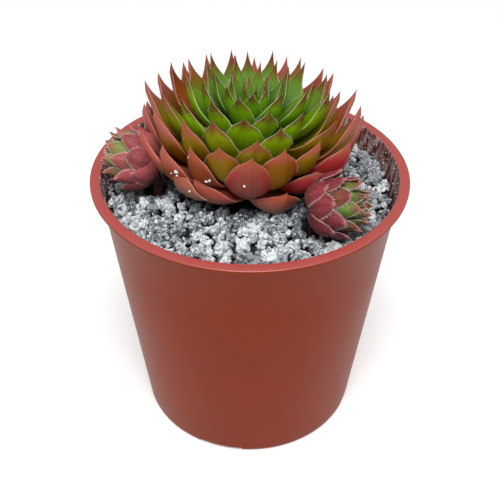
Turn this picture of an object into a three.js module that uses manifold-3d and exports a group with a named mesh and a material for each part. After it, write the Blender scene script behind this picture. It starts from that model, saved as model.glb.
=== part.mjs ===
// A potted houseleek: one globe-shaped rosette with two young closed rosettes on their runners,
// in pale pumice grit, in a thin round nursery pot.
// Millimetres, +Z up. The origin is the centre of the pot's foot, on the surface that it stands on.

import * as THREE from 'three';
import { mergeVertices } from 'three/addons/utils/BufferGeometryUtils.js';
import Module from 'manifold-3d';

const wasm = await Module();
wasm.setup();

// The gap between pieces that touch, the finest detail kept where shapes are joined, and how far
// round a piece its neighbours are looked for.
const GAP = 0.3;
const SLIVER = 0.03;
const NEAR = 1;

const POT = {
  height: 78.7,
  rimRadius: 42.5,
  throatRadius: 39.7,
  shoulderRadius: 40.2,
  footRadius: 32,
  wall: 0.8,
  flangeThickness: 0.9,
  edgeRounding: 0.25,
  floorUnderside: 1.4,
  floorTop: 2.4,
  footRingInner: 30.2,
  footSlope: 0.4,
  footRingOuter: 31.5,
  footEdgeHeight: 0.7,
  sides: 60,
};

const FOOT_NOTCH = { count: 4, width: 13, depth: 8, height: 0.8, firstAngle: -105 };

const DRAIN = {
  centreRadius: 4,
  outerRadius: 3,
  outerCount: 4,
  circle: 19,
  firstAngle: 30,
  sides: 16,
  below: -1,
};

const SOIL = { top: 68, sides: 36 };

// The grit's level, and the relief of its grains: peaks on every third point of a triangular net.
const GRIT = {
  bottom: SOIL.top + GAP,
  rings: 14,
  centreLevel: 74.6,
  edgeLevel: 73.2,
  frontRise: 1.2,
  ovalRise: 0.8,
  grainHeight: 1.5,
  grainSpread: 0.9,
  flattened: 0.45,
  seed: 5,
};

// Where the plants press the grit down and flatten its grains: [x, y, radius, depth]. The effect is
// full within the full share of the radius.
const HOLLOW_FULL = 0.6;
const HOLLOWS = [
  [-0.5, 4.5, 27, 1.9],
  [-29.5, -2.0, 9.5, 1.5],
  [21.0, -21.5, 9.5, 1.6],
];

const GOLDEN_ANGLE = 137.508;

// The main rosette. A leaf's age runs from 0 at the heart to 1 at the lowest leaf. Each path gives
// [distance from the axis, height] at even steps of age.
const ROSETTE = {
  centre: [-0.5, 4.5],
  lean: [0.04, 0.01],
  leanFoot: 76,
  leafCount: 80,
  firstAngle: 289.5,
  turn: -137.44,
  pull: 0.46,
  rootPath: [[0.8, 89.5], [2.4, 86.4], [3.8, 83.2], [5.2, 80.4], [6.4, 78.2], [7.4, 76.8]],
  tipPath: [[1.6, 101.4], [11.0, 104.4], [19.4, 102.2], [25.4, 99.6], [28.2, 95.8], [27.6, 85.0]],
  rootRise: [84, 58, 34, 15, 0, 12],
  tipRise: [90, 88, 84, 80, 82, 102],
  width: [3.6, 7.2, 9.2, 10.4, 12.2, 12.6],
  thickness: [1.2, 1.7, 2.1, 2.4, 2.7, 3.4],
  core: [[0, 75.4], [3.6, 75.4], [6.4, 77.2], [7.0, 78.6], [6.4, 80.6], [4.2, 84.6], [0, 89.0]],
  fallen: [73],
  simpleAge: 0.4,
};

// Leaves of the rosette that stand out of the rule: [degrees round, millimetres out, millimetres up].
const OUT_OF_TURN = {
  8: [0, -1, -1],
  13: [0, 2.5, 1],
  16: [0, -1.5, -1.5],
  18: [0, 2, -0.5],
  20: [0, -1, -0.5],
  21: [0, 2.5, -0.5],
  23: [0, 1, -1],
  26: [0, 0.5, -2],
  27: [0, -0.5, 1],
  29: [0, -1, -1],
  34: [-5, 0, -1.5],
  35: [0, 2.5, 1],
  37: [0, 0.5, 1],
  39: [0, 1.5, -1.5],
  42: [-5, 1, -0.5],
  43: [0, -2, 1],
  44: [0, -2, 0],
  45: [2, -0.5, 0.5],
  46: [0, 0, -2.5],
  47: [0, 0, -2.5],
  48: [0, 2, 0],
  49: [0, 1, -1],
  50: [-6.5, -0.5, -1.5],
  52: [0, 2, 2.5],
  53: [0, -0.5, 1],
  55: [-2, 0, 0.5],
  56: [0, 1, 0],
  57: [0, 1, 0.5],
  58: [-2, -1.5, -2],
  60: [0, 2.5, 0.5],
  62: [0, 1, 0.5],
  63: [0, -1, 0.5],
  64: [0, -0.5, 2],
  65: [0, 0.5, 0.5],
  66: [0, -0.5, -1],
  68: [2, -4.2, -4.2],
  70: [0, -2, 1.5],
  71: [3, -3.2, -5.2],
  74: [0, 0.5, 4],
  76: [-3, -4.2, -3],
  79: [5, -0.9, 0.4],
};

// The lowest leaves, which lie spread on the grit: [degrees rolled about the midrib, millimetres
// that the point is swept aside]. The roll is full from a share of the length on, and the sweep
// grows with a power of it.
const ROLL_FULL = 0.4;
const SWEEP_GROWTH = 1.5;
const SPREAD_OUT = {
  68: [8.6, 6],
  71: [-20, -8],
  76: [5.7, 5],
  79: [-22.9, -7.5],
};

const STEM = { radius: 3.6, bottom: 66.3, top: 77, holeRadius: 3.9, holeBottom: 66, sides: 24 };

// The young rosettes stay closed: their leaves lie on an egg, and the tips meet ahead of it.
// Their paths are measured from the bud's root along its own axis.
const BUD = {
  leafCount: 30,
  turn: GOLDEN_ANGLE,
  pull: 0.42,
  rootPath: [[0.8, 8.0], [1.8, 6.4], [2.6, 4.6], [2.8, 3.0], [2.6, 1.8], [2.4, 0.8]],
  tipPath: [[1.0, 15.4], [3.2, 15.8], [5.4, 14.6], [7.2, 12.4], [8.2, 9.8], [8.0, 6.8]],
  rootRise: [78, 46, 26, 10, 0, -8],
  tipRise: [90, 88, 84, 82, 82, 84],
  width: [2.6, 4.4, 5.8, 6.8, 7.4, 7.4],
  thickness: [0.8, 0.9, 1.0, 1.1, 1.2, 1.2],
  core: [[0, 0], [2.6, 0.2], [4.4, 2.4], [4.8, 5.0], [3.6, 8.2], [0, 10.6]],
  fallen: [],
  simpleAge: 2,
};

const RUNNER = {
  radius: 1.3,
  holeRadius: 1.6,
  holeSides: 12,
  sunk: 4,
  bendHeight: 78.6,
  groundHeight: 75.6,
  tip: 70.4,
  sides: 8,
  steps: 6,
};

const OFFSETS = [
  {
    name: 'offset_left',
    root: [-23.4, -2.4, 81.4],
    axis: [-0.95, 0.04, 0.28],
    firstAngle: 20,
    runnerFoot: [-24.8, -2.2],
  },
  {
    name: 'offset_right',
    root: [14.8, -19.0, 80.4],
    axis: [0.88, -0.36, 0.26],
    firstAngle: 70,
    runnerFoot: [16.4, -19.6],
  },
];

// How wide and thick a leaf is along its length, as shares of its length, of its full half width
// and of its full thickness. A leaf younger than its plant's simple age has the shorter list. Its
// front stands a share of the thickness before the midrib, and its back the rest behind it. With
// age the trough in front gets shallower and fills near the root.
const LEAF_STATIONS = [
  { along: 0, halfWidth: 0.54, thick: 1.0, fill: 1 },
  { along: 0.38, halfWidth: 0.94, thick: 1.0, fill: 1 },
  { along: 0.68, halfWidth: 1.0, thick: 0.8, fill: 0.25 },
  { along: 0.88, halfWidth: 0.5, thick: 0.55, fill: 0 },
];
const SIMPLE_STATIONS = [
  { along: 0, halfWidth: 0.5, thick: 1.0, fill: 1 },
  { along: 0.5, halfWidth: 1.0, thick: 1.0, fill: 1 },
  { along: 0.82, halfWidth: 0.62, thick: 0.7, fill: 0 },
];
const LEAF_EDGE = 0.6;
const LEAF_CUP = { young: 0.38, old: 0.18 };
const LEAF_FRONT = { young: 0.3, old: 0.6 };
const LEAF_BACK = 0.7;

const radians = THREE.MathUtils.degToRad;

// A repeatable run of numbers between -1 and 1.
function spread(seed) {
  let state = seed * 7919 + 17;
  return () => {
    state = (state * 16807) % 2147483647;
    return (state / 2147483647) * 2 - 1;
  };
}

// The value at age 0 to 1 in a list of values at even steps of age.
function atAge(values, age) {
  const place = age * (values.length - 1);
  const low = Math.min(Math.floor(place), values.length - 2);
  return THREE.MathUtils.lerp(values[low], values[low + 1], place - low);
}

function solidOf(geometry) {
  const bare = geometry.clone();
  bare.deleteAttribute('normal');
  bare.deleteAttribute('uv');
  const merged = mergeVertices(bare, 1e-4);
  return new wasm.Manifold(new wasm.Mesh({
    numProp: 3,
    vertProperties: new Float32Array(merged.attributes.position.array),
    triVerts: new Uint32Array(merged.index.array),
  }));
}

function geometryOf(solid) {
  const mesh = solid.getMesh();
  const geometry = new THREE.BufferGeometry();
  geometry.setAttribute('position', new THREE.BufferAttribute(mesh.vertProperties, 3));
  geometry.setIndex(new THREE.BufferAttribute(mesh.triVerts, 1));
  geometry.computeVertexNormals();
  return geometry;
}

// The outer shell alone: hollows that the leaves close off are filled, loose scraps dropped, and
// slivers along the joins smoothed away.
function filled(solid) {
  const shells = solid.decompose();
  const outer = shells.reduce((best, shell) => (shell.volume() > best.volume() ? shell : best));
  return outer.simplify(SLIVER);
}

// Turned about +Z, from a profile of [radius, height] points that starts and ends on the axis.
function turned(profile, sides) {
  const points = profile.map(([radius, height]) => new THREE.Vector2(radius, height));
  return new THREE.LatheGeometry(points, sides).rotateX(Math.PI / 2);
}

// A closed body through rings of points, with a flat start and a single end point.
function loft(rings, endPoint) {
  const sides = rings[0].length;
  const points = [...rings.flat(), endPoint];
  const index = [];
  for (let side = 1; side < sides - 1; side += 1) {
    index.push(0, side + 1, side);
  }
  for (let ring = 0; ring < rings.length - 1; ring += 1) {
    for (let side = 0; side < sides; side += 1) {
      const here = ring * sides + side;
      const next = ring * sides + (side + 1) % sides;
      index.push(here, next, next + sides, here, next + sides, here + sides);
    }
  }
  const last = (rings.length - 1) * sides;
  for (let side = 0; side < sides; side += 1) {
    index.push(last + side, last + (side + 1) % sides, points.length - 1);
  }
  const geometry = new THREE.BufferGeometry().setFromPoints(points);
  geometry.setIndex(index);
  return geometry;
}

// One leaf, in the plane at `azimuth` round the plant's axis: a blade with a rounded back and a
// shallow trough in front, widest past its middle and drawn out to a point.
function leaf(plant, age, azimuth, [reach, lift], [roll, sweep], stations) {
  const rootRadius = atAge(plant.rootPath.map((point) => point[0]), age);
  const rootHeight = atAge(plant.rootPath.map((point) => point[1]), age);
  const tipRadius = atAge(plant.tipPath.map((point) => point[0]), age) + reach;
  const tipHeight = atAge(plant.tipPath.map((point) => point[1]), age) + lift;
  const root = new THREE.Vector2(rootRadius, rootHeight);
  const tip = new THREE.Vector2(tipRadius, tipHeight);
  const pull = root.distanceTo(tip) * plant.pull;
  const rootRise = radians(atAge(plant.rootRise, age));
  const tipRise = radians(atAge(plant.tipRise, age));
  const midrib = new THREE.CubicBezierCurve(
    root,
    new THREE.Vector2(root.x + pull * Math.cos(rootRise), root.y + pull * Math.sin(rootRise)),
    new THREE.Vector2(tip.x - pull * Math.cos(tipRise), tip.y - pull * Math.sin(tipRise)),
    tip,
  );
  const halfWidth = atAge(plant.width, age) / 2;
  const thickness = atAge(plant.thickness, age);
  const out = new THREE.Vector3(Math.cos(azimuth), Math.sin(azimuth), 0);
  const side = new THREE.Vector3(-Math.sin(azimuth), Math.cos(azimuth), 0);
  const place = (along, across, inward) => {
    const point = midrib.getPoint(along);
    const tangent = midrib.getTangent(along);
    const rolled = new THREE.Vector2(across + sweep * along ** SWEEP_GROWTH, inward)
      .rotateAround(new THREE.Vector2(), roll * THREE.MathUtils.smoothstep(along, 0, ROLL_FULL));
    const radius = point.x - rolled.y * tangent.y;
    const height = point.y + rolled.y * tangent.x;
    return out.clone().multiplyScalar(radius).addScaledVector(side, rolled.x).setZ(height);
  };
  const cup = THREE.MathUtils.lerp(LEAF_CUP.young, LEAF_CUP.old, age);
  const rings = stations.map((station) => {
    const half = halfWidth * station.halfWidth;
    const thick = Math.max(thickness * station.thick, LEAF_EDGE);
    const raised = half * cup;
    const front = THREE.MathUtils.lerp(LEAF_FRONT.young, LEAF_FRONT.old, age * station.fill);
    return [
      place(station.along, half, raised + LEAF_EDGE / 2),
      place(station.along, 0, thick * front),
      place(station.along, -half, raised + LEAF_EDGE / 2),
      place(station.along, -half, raised - LEAF_EDGE / 2),
      place(station.along, 0, -thick * LEAF_BACK),
      place(station.along, half, raised - LEAF_EDGE / 2),
    ];
  });
  return loft(rings, place(1, 0, 0));
}

// A plant about +Z: its core with every leaf grown into it, each a fixed turn on from the last.
function grow(plant, outOfTurn, spreadOut) {
  let body = solidOf(turned(plant.core, STEM.sides));
  for (let count = 0; count < plant.leafCount; count += 1) {
    if (plant.fallen.includes(count)) {
      continue;
    }
    const age = count / (plant.leafCount - 1);
    const [round, reach, lift] = outOfTurn[count] ?? [0, 0, 0];
    const [roll, sweep] = spreadOut[count] ?? [0, 0];
    const azimuth = radians(plant.firstAngle + count * plant.turn + round);
    const stations = age < plant.simpleAge ? SIMPLE_STATIONS : LEAF_STATIONS;
    const blade = leaf(plant, age, azimuth, [reach, lift], [radians(roll), sweep], stations);
    body = body.add(solidOf(blade));
  }
  return filled(body);
}

function rosetteSolid() {
  const [leanX, leanY] = ROSETTE.lean;
  const [x, y] = ROSETTE.centre;
  const lean = new THREE.Matrix4().makeTranslation(x, y, ROSETTE.leanFoot)
    .multiply(new THREE.Matrix4().makeRotationFromEuler(new THREE.Euler(-leanY, leanX, 0)))
    .multiply(new THREE.Matrix4().makeTranslation(0, 0, -ROSETTE.leanFoot));
  const head = geometryOf(grow(ROSETTE, OUT_OF_TURN, SPREAD_OUT)).applyMatrix4(lean);
  const stem = cylinder(STEM.radius, STEM.bottom, STEM.top, ROSETTE.centre, STEM.sides);
  return filled(solidOf(head).add(solidOf(stem)));
}

const cylinder = (radius, bottom, top, [x, y], sides) => {
  const geometry = new THREE.CylinderGeometry(radius, radius, top - bottom, sides);
  return geometry.rotateX(Math.PI / 2).translate(x, y, (top + bottom) / 2);
};

// A runner's rooted end: a round stem from inside the bud, bent down into the grit.
function runner({ root, axis, runnerFoot }) {
  const start = new THREE.Vector3(...root).addScaledVector(axis, RUNNER.sunk);
  const foot = new THREE.Vector3(runnerFoot[0], runnerFoot[1], RUNNER.tip);
  const bend = foot.clone().setZ(RUNNER.bendHeight);
  const ground = foot.clone().setZ(RUNNER.groundHeight);
  const path = new THREE.CatmullRomCurve3([start, bend, ground, foot]);
  const section = new THREE.Shape().absarc(0, 0, RUNNER.radius, 0, Math.PI * 2);
  return new THREE.ExtrudeGeometry(section, {
    extrudePath: path,
    steps: RUNNER.steps,
    curveSegments: RUNNER.sides,
  });
}

// What a solid takes up with a gap left all round it, within a box round the other piece.
function withGap(solid, other) {
  const { min, max } = other.boundingBox();
  const around = new THREE.Box3(new THREE.Vector3(...min), new THREE.Vector3(...max));
  const size = around.expandByScalar(NEAR).getSize(new THREE.Vector3());
  const middle = around.getCenter(new THREE.Vector3());
  const block = new THREE.BoxGeometry(...size.toArray()).translate(...middle.toArray());
  const near = solid.intersect(solidOf(block));
  let room = near;
  for (const axis of [0, 1, 2]) {
    for (const way of [GAP, -GAP]) {
      const shift = [0, 0, 0];
      shift[axis] = way;
      room = room.add(near.translate(shift));
    }
  }
  return room;
}

function offsetSolid(offset, rosette) {
  const axis = new THREE.Vector3(...offset.axis).normalize();
  const turn = new THREE.Quaternion().setFromUnitVectors(new THREE.Vector3(0, 0, 1), axis);
  const bud = geometryOf(grow({ ...BUD, firstAngle: offset.firstAngle }, {}, {}));
  bud.applyQuaternion(turn).translate(...offset.root);
  const stem = runner({ ...offset, axis });
  const whole = filled(solidOf(bud).add(solidOf(stem)));
  return geometryOf(filled(whole.subtract(withGap(rosette, whole))));
}

const outerWall = (height) => THREE.MathUtils.lerp(
  POT.footRadius,
  POT.shoulderRadius,
  height / (POT.height - POT.flangeThickness),
);
const innerWall = (height) => outerWall(height) - POT.wall;

function potSolid() {
  const under = POT.height - POT.flangeThickness;
  const rounding = POT.edgeRounding;
  const profile = [
    [0, POT.floorUnderside],
    [POT.footRingInner - POT.footSlope, POT.floorUnderside],
    [POT.footRingInner, 0],
    [POT.footRingOuter, 0],
    [outerWall(POT.footEdgeHeight), POT.footEdgeHeight],
    [outerWall(under), under],
    [POT.rimRadius - rounding, under],
    [POT.rimRadius, under + rounding],
    [POT.rimRadius, POT.height - rounding],
    [POT.rimRadius - rounding, POT.height],
    [POT.throatRadius, POT.height],
    [innerWall(under), under - POT.flangeThickness],
    [innerWall(POT.floorTop), POT.floorTop],
    [0, POT.floorTop],
  ];
  let body = solidOf(turned(profile, POT.sides));
  const notchRadius = (POT.footRingInner + POT.footRadius) / 2;
  for (let count = 0; count < FOOT_NOTCH.count; count += 1) {
    const angle = radians(FOOT_NOTCH.firstAngle + (360 / FOOT_NOTCH.count) * count);
    const notch = new THREE.BoxGeometry(FOOT_NOTCH.depth, FOOT_NOTCH.width, FOOT_NOTCH.height * 2);
    notch.translate(notchRadius, 0, 0).rotateZ(angle);
    body = body.subtract(solidOf(notch));
  }
  const drainTop = POT.floorTop - DRAIN.below;
  const holes = [cylinder(DRAIN.centreRadius, DRAIN.below, drainTop, [0, 0], DRAIN.sides)];
  for (let count = 0; count < DRAIN.outerCount; count += 1) {
    const angle = radians(DRAIN.firstAngle + (360 / DRAIN.outerCount) * count);
    const place = [DRAIN.circle * Math.cos(angle), DRAIN.circle * Math.sin(angle)];
    holes.push(cylinder(DRAIN.outerRadius, DRAIN.below, drainTop, place, DRAIN.sides));
  }
  for (const hole of holes) {
    body = body.subtract(solidOf(hole));
  }
  return geometryOf(body);
}

function soilSolid() {
  const bottom = POT.floorTop + GAP;
  const profile = [
    [0, bottom],
    [innerWall(bottom) - GAP, bottom],
    [innerWall(SOIL.top) - GAP, SOIL.top],
    [0, SOIL.top],
  ];
  const hole = cylinder(STEM.holeRadius, STEM.holeBottom, POT.height, ROSETTE.centre, STEM.sides);
  return geometryOf(solidOf(turned(profile, SOIL.sides)).subtract(solidOf(hole)));
}

// How the plants press the grit at a point: [share of the full effect, millimetres down].
function pressed(x, y) {
  const shares = HOLLOWS.map(([centreX, centreY, radius, depth]) => {
    const away = Math.hypot(x - centreX, y - centreY);
    const share = 1 - THREE.MathUtils.smoothstep(away, radius * HOLLOW_FULL, radius);
    return [share, share * depth];
  });
  return shares.reduce((most, one) => (one[1] > most[1] ? one : most));
}

// The height of the grit without its grains, heaped in front and low at the sides.
function gritLevel(x, y) {
  const share = Math.min(Math.hypot(x, y) / innerWall(GRIT.centreLevel), 1);
  const fromFront = Math.atan2(y, x) + Math.PI / 2;
  const edge = GRIT.edgeLevel + GRIT.frontRise * Math.cos(fromFront)
    + GRIT.ovalRise * Math.cos(2 * fromFront);
  return THREE.MathUtils.lerp(GRIT.centreLevel, edge, share ** 2) - pressed(x, y)[1];
}

// A layer of grit: its top is a triangular net in rings, where ring n has 6n points.
function gritSolid() {
  const draw = spread(GRIT.seed);
  const radius = innerWall(GRIT.bottom) - GAP;
  const points = [new THREE.Vector3(0, 0, gritLevel(0, 0))];
  const ringStart = [0];
  for (let ring = 1; ring <= GRIT.rings; ring += 1) {
    ringStart.push(points.length);
    for (let step = 0; step < ring * 6; step += 1) {
      const angle = (step / (ring * 6)) * Math.PI * 2;
      const reach = radius * (ring / GRIT.rings);
      const x = reach * Math.cos(angle);
      const y = reach * Math.sin(angle);
      const peak = (ring + step % ring) % 3 === 0;
      const relief = (peak ? GRIT.grainHeight : 0) + draw() * GRIT.grainSpread;
      const lift = relief * (1 - GRIT.flattened * pressed(x, y)[0]);
      points.push(new THREE.Vector3(x, y, gritLevel(x, y) + lift));
    }
  }
  const index = [];
  for (let ring = 1; ring <= GRIT.rings; ring += 1) {
    const outer = (step) => ringStart[ring] + step % (ring * 6);
    const inner = (step) => (ring === 1 ? 0 : ringStart[ring - 1] + step % ((ring - 1) * 6));
    for (let sector = 0; sector < 6; sector += 1) {
      for (let step = 0; step < ring; step += 1) {
        const here = sector * ring + step;
        const behind = sector * (ring - 1) + step;
        index.push(outer(here), outer(here + 1), inner(behind));
        if (step < ring - 1) {
          index.push(inner(behind), outer(here + 1), inner(behind + 1));
        }
      }
    }
  }
  const rim = GRIT.rings * 6;
  const rimStart = ringStart[GRIT.rings];
  const baseStart = points.length;
  for (let step = 0; step < rim; step += 1) {
    points.push(points[rimStart + step].clone().setZ(GRIT.bottom));
  }
  const baseCentre = points.length;
  points.push(new THREE.Vector3(0, 0, GRIT.bottom));
  for (let step = 0; step < rim; step += 1) {
    const next = (step + 1) % rim;
    index.push(rimStart + step, baseStart + step, rimStart + next);
    index.push(rimStart + next, baseStart + step, baseStart + next);
    index.push(baseStart + step, baseCentre, baseStart + next);
  }
  const geometry = new THREE.BufferGeometry().setFromPoints(points);
  geometry.setIndex(index);
  let body = solidOf(geometry);
  const holes = [
    cylinder(STEM.holeRadius, STEM.holeBottom, POT.height, ROSETTE.centre, STEM.sides),
  ];
  for (const { runnerFoot } of OFFSETS) {
    const { holeRadius, holeSides, tip } = RUNNER;
    holes.push(cylinder(holeRadius, tip - GAP, POT.height, runnerFoot, holeSides));
  }
  for (const hole of holes) {
    body = body.subtract(solidOf(hole));
  }
  return geometryOf(body);
}

const FINISH = {
  plastic: new THREE.MeshStandardMaterial({ color: 0x9c4433, roughness: 0.42, metalness: 0 }),
  soil: new THREE.MeshStandardMaterial({ color: 0x241a14, roughness: 0.95, metalness: 0 }),
  pumice: new THREE.MeshStandardMaterial({ color: 0xc9c9c6, roughness: 0.9, metalness: 0 }),
  leaf: new THREE.MeshStandardMaterial({ color: 0x6c8f1c, roughness: 0.45, metalness: 0 }),
  youngLeaf: new THREE.MeshStandardMaterial({ color: 0x96404a, roughness: 0.5, metalness: 0 }),
};

function piece(name, geometry, material) {
  const mesh = new THREE.Mesh(geometry, material);
  mesh.name = name;
  return mesh;
}

const houseleek = new THREE.Group();
houseleek.add(piece('pot', potSolid(), FINISH.plastic));
houseleek.add(piece('soil', soilSolid(), FINISH.soil));
houseleek.add(piece('grit', gritSolid(), FINISH.pumice));
const rosette = rosetteSolid();
houseleek.add(piece('rosette', geometryOf(rosette), FINISH.leaf));
for (const offset of OFFSETS) {
  houseleek.add(piece(offset.name, offsetSolid(offset, rosette), FINISH.youngLeaf));
}

export default houseleek;
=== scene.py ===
"""Dresses a packed potted houseleek: its leaves, young heads, pumice grit and nursery pot.

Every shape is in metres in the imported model's own frame, with +Z up and the front toward -Y. The
sizes in the classes are in millimetres, and MM turns them into metres when a mesh is written.
"""

import logging
import math
import random
from dataclasses import dataclass, field, replace
from enum import Enum

import bmesh
import bpy
import numpy as np
from mathutils import Euler, Matrix, Vector


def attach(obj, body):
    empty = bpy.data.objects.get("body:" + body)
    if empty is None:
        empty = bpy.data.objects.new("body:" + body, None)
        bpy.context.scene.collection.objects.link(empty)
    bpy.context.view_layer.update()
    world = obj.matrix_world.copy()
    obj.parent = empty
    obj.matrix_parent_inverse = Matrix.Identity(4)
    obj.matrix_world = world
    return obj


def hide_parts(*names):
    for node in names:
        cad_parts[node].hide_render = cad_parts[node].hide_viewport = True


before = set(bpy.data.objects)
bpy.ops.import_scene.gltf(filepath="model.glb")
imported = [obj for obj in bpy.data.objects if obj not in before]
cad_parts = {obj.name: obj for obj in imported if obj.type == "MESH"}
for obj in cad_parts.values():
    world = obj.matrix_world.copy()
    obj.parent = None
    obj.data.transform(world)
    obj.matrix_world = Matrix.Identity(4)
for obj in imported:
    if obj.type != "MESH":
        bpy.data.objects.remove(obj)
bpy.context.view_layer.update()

MM = 0.001
FULL_TURN = 2 * math.pi
LOG = logging.getLogger("houseleek")
Array = np.ndarray
Pair = tuple[float, float]
Trio = tuple[float, float, float]
Mesh = bpy.types.Mesh
Material = bpy.types.Material
Node = bpy.types.Node
Socket = bpy.types.NodeSocket


def linear(code: str) -> tuple[float, float, float, float]:
    """Turns an sRGB hex colour into a linear one.

    Args:
        code: The colour as "#rrggbb".

    Returns:
        Linear red, green and blue, and an alpha of 1.
    """
    shares = [int(code[at : at + 2], 16) / 255 for at in (1, 3, 5)]
    steps = [s / 12.92 if s <= 0.04045 else ((s + 0.055) / 1.055) ** 2.4 for s in shares]
    return (steps[0], steps[1], steps[2], 1.0)


def add_node(
    tree: bpy.types.NodeTree, kind: str, settings: dict | None = None, links: dict | None = None
) -> Node:
    """Adds a node with its settings and its incoming links.

    Args:
        tree: The node tree that gets the node.
        kind: The node's type name.
        settings: Values of the node's own options or unlinked sockets, by name or socket number.
        links: The output socket that feeds each input socket, by name or socket number.

    Returns:
        The new node.
    """
    node = tree.nodes.new(kind)
    for name, value in (settings or {}).items():
        if isinstance(name, int) or name in node.inputs:
            node.inputs[name].default_value = value
        else:
            setattr(node, name, value)
    for name, source in (links or {}).items():
        tree.links.new(source, node.inputs[name])
    return node


def per_mm(size: float) -> float:
    """The scale of a texture whose patches are of a size in millimetres."""
    return 1 / (size * MM)


class Surface:
    """A material under construction: one shader, and short ways to the nodes that feed it."""

    def __init__(self, name: str, settings: dict) -> None:
        """Makes the material.

        Args:
            name: The material's name.
            settings: The shader's own constant values.
        """
        self.material = bpy.data.materials.new(name)
        self.material.use_nodes = True
        self.tree = self.material.node_tree
        self.tree.nodes.clear()
        self.shader = self.add("BsdfPrincipled", settings)
        self.add("OutputMaterial", {}, {"Surface": self.shader.outputs[0]})
        self.place = self.add("TexCoord").outputs["Object"]

    def add(self, kind: str, settings: dict | None = None, links: dict | None = None) -> Node:
        """Adds a node by its type's short name, as add_node does."""
        return add_node(self.tree, "ShaderNode" + kind, settings, links)

    def feed(self, socket: str, source: Socket) -> None:
        """Links an output to one of the shader's sockets."""
        self.tree.links.new(source, self.shader.inputs[socket])

    def attribute(self, name: str, kind: str = "Vector") -> Socket:
        """Reads a mesh attribute as a vector or a colour."""
        return self.add("Attribute", {"attribute_name": name}).outputs[kind]

    def parts(self, vector: Socket) -> list[Socket]:
        """Splits a vector into its three values."""
        return list(self.add("SeparateXYZ", {}, {0: vector}).outputs)

    def noise(
        self, scale: float, detail: float = 2.0, roughness: float = 0.5, at: Socket | None = None
    ) -> Socket:
        """Adds noise, in the object's own space unless a place is given."""
        settings = {"Scale": scale, "Detail": detail, "Roughness": roughness}
        return self.add("TexNoise", settings, {"Vector": at or self.place}).outputs[0]

    def ranged(
        self, value: Socket, start: float, end: float, low: float = 0.0, high: float = 1.0
    ) -> Socket:
        """Turns values from start to end into values from low to high, and holds them there."""
        settings = {"From Min": start, "From Max": end, "To Min": low, "To Max": high}
        return self.add("MapRange", settings, {"Value": value}).outputs[0]

    def mixed(self, share: Socket, first: str | Socket, second: str | Socket) -> Socket:
        """Mixes two colours, each a hex code or an output, by a share from 0 to 1."""
        settings, links = {"data_type": "RGBA"}, {0: share}
        for socket, colour in ((6, first), (7, second)):
            if isinstance(colour, str):
                settings[socket] = linear(colour)
            else:
                links[socket] = colour
        return self.add("Mix", settings, links).outputs[2]

    def maths(self, operation: str, *values: float | Socket, clamped: bool = False) -> Socket:
        """Does one sum with numbers and outputs, in the order of the node's sockets."""
        settings, links = {"operation": operation, "use_clamp": clamped}, {}
        for socket, value in enumerate(values):
            if isinstance(value, float):
                settings[socket] = value
            else:
                links[socket] = value
        return self.add("Math", settings, links).outputs[0]

    def bumped(self, height: Socket, strength: float, depth: float) -> None:
        """Gives the surface fine relief of a depth in millimetres."""
        settings = {"Strength": strength, "Distance": depth * MM}
        self.feed("Normal", self.add("Bump", settings, {"Height": height}).outputs[0])


def smoothstep(value: Array | float, low: float, high: float) -> Array:
    """Rises smoothly from 0 at low to 1 at high."""
    share = np.clip((value - low) / (high - low), 0, 1)
    return share * share * (3 - 2 * share)


def unit(rows: Array) -> Array:
    """Brings a direction, or rows of them, to a length of 1."""
    return rows / np.linalg.norm(rows, axis=-1, keepdims=True)


def at_age(values: tuple, age: float) -> Array:
    """Reads a list of values at even steps of age, at an age from 0 to 1."""
    steps = np.linspace(0, 1, len(values))
    table = np.array(values, float)
    if table.ndim == 1:
        return np.interp(age, steps, table)
    return np.array([np.interp(age, steps, table[:, column]) for column in range(table.shape[1])])


def mesh_of(bm: bmesh.types.BMesh, name: str) -> Mesh:
    """Writes a bmesh to a new mesh and frees it."""
    mesh = bpy.data.meshes.new(name)
    bm.to_mesh(mesh)
    bm.free()
    return mesh


def points_of(mesh: Mesh) -> Array:
    """Reads a mesh's points as rows of x, y and z."""
    points = np.zeros(len(mesh.vertices) * 3)
    mesh.vertices.foreach_get("co", points)
    return points.reshape(-1, 3)


def move_points(mesh: Mesh, points: Array) -> None:
    """Puts a mesh's points at new places."""
    mesh.vertices.foreach_set("co", points.astype(np.float32).ravel())
    mesh.update()


def repeated(template: Mesh, count: int, name: str) -> Mesh:
    """Makes a mesh of many copies of a template, one after the other.

    Args:
        template: The mesh to repeat.
        count: The number of copies.
        name: The new mesh's name.

    Returns:
        The mesh, whose points run copy by copy in the template's order.
    """
    bm = bmesh.new()
    for _ in range(count):
        bm.from_mesh(template)
    return mesh_of(bm, name)


def write_attribute(mesh: Mesh, name: str, values: Array) -> None:
    """Stores three values for each point of a mesh under a name that a material reads."""
    layer = mesh.attributes.new(name, "FLOAT_VECTOR", "POINT")
    layer.data.foreach_set("vector", values.astype(np.float32).ravel())


def spun(profile: list[Pair], steps: int, name: str) -> Mesh:
    """Spins a profile of radius and height in millimetres about +Z into a closed body.

    Args:
        profile: The points from the axis and back to it.
        steps: The number of steps in the full turn.
        name: The mesh's name.

    Returns:
        The closed mesh, with its faces outward.
    """
    bm = bmesh.new()
    verts = [bm.verts.new((radius * MM, 0, height * MM)) for radius, height in profile]
    edges = [bm.edges.new(pair) for pair in zip(verts, verts[1:])]
    turn = {"cent": (0, 0, 0), "axis": (0, 0, 1), "angle": FULL_TURN, "steps": steps}
    bmesh.ops.spin(bm, geom=verts + edges, use_merge=True, **turn)
    bmesh.ops.remove_doubles(bm, verts=bm.verts, dist=1e-7)
    bmesh.ops.recalc_face_normals(bm, faces=bm.faces)
    return mesh_of(bm, name)


def add_object(name: str, data: bpy.types.ID) -> bpy.types.Object:
    """Makes an object of a mesh, curve, light or camera, and puts it in the scene."""
    made = bpy.data.objects.new(name, data)
    bpy.context.scene.collection.objects.link(made)
    return made


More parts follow.
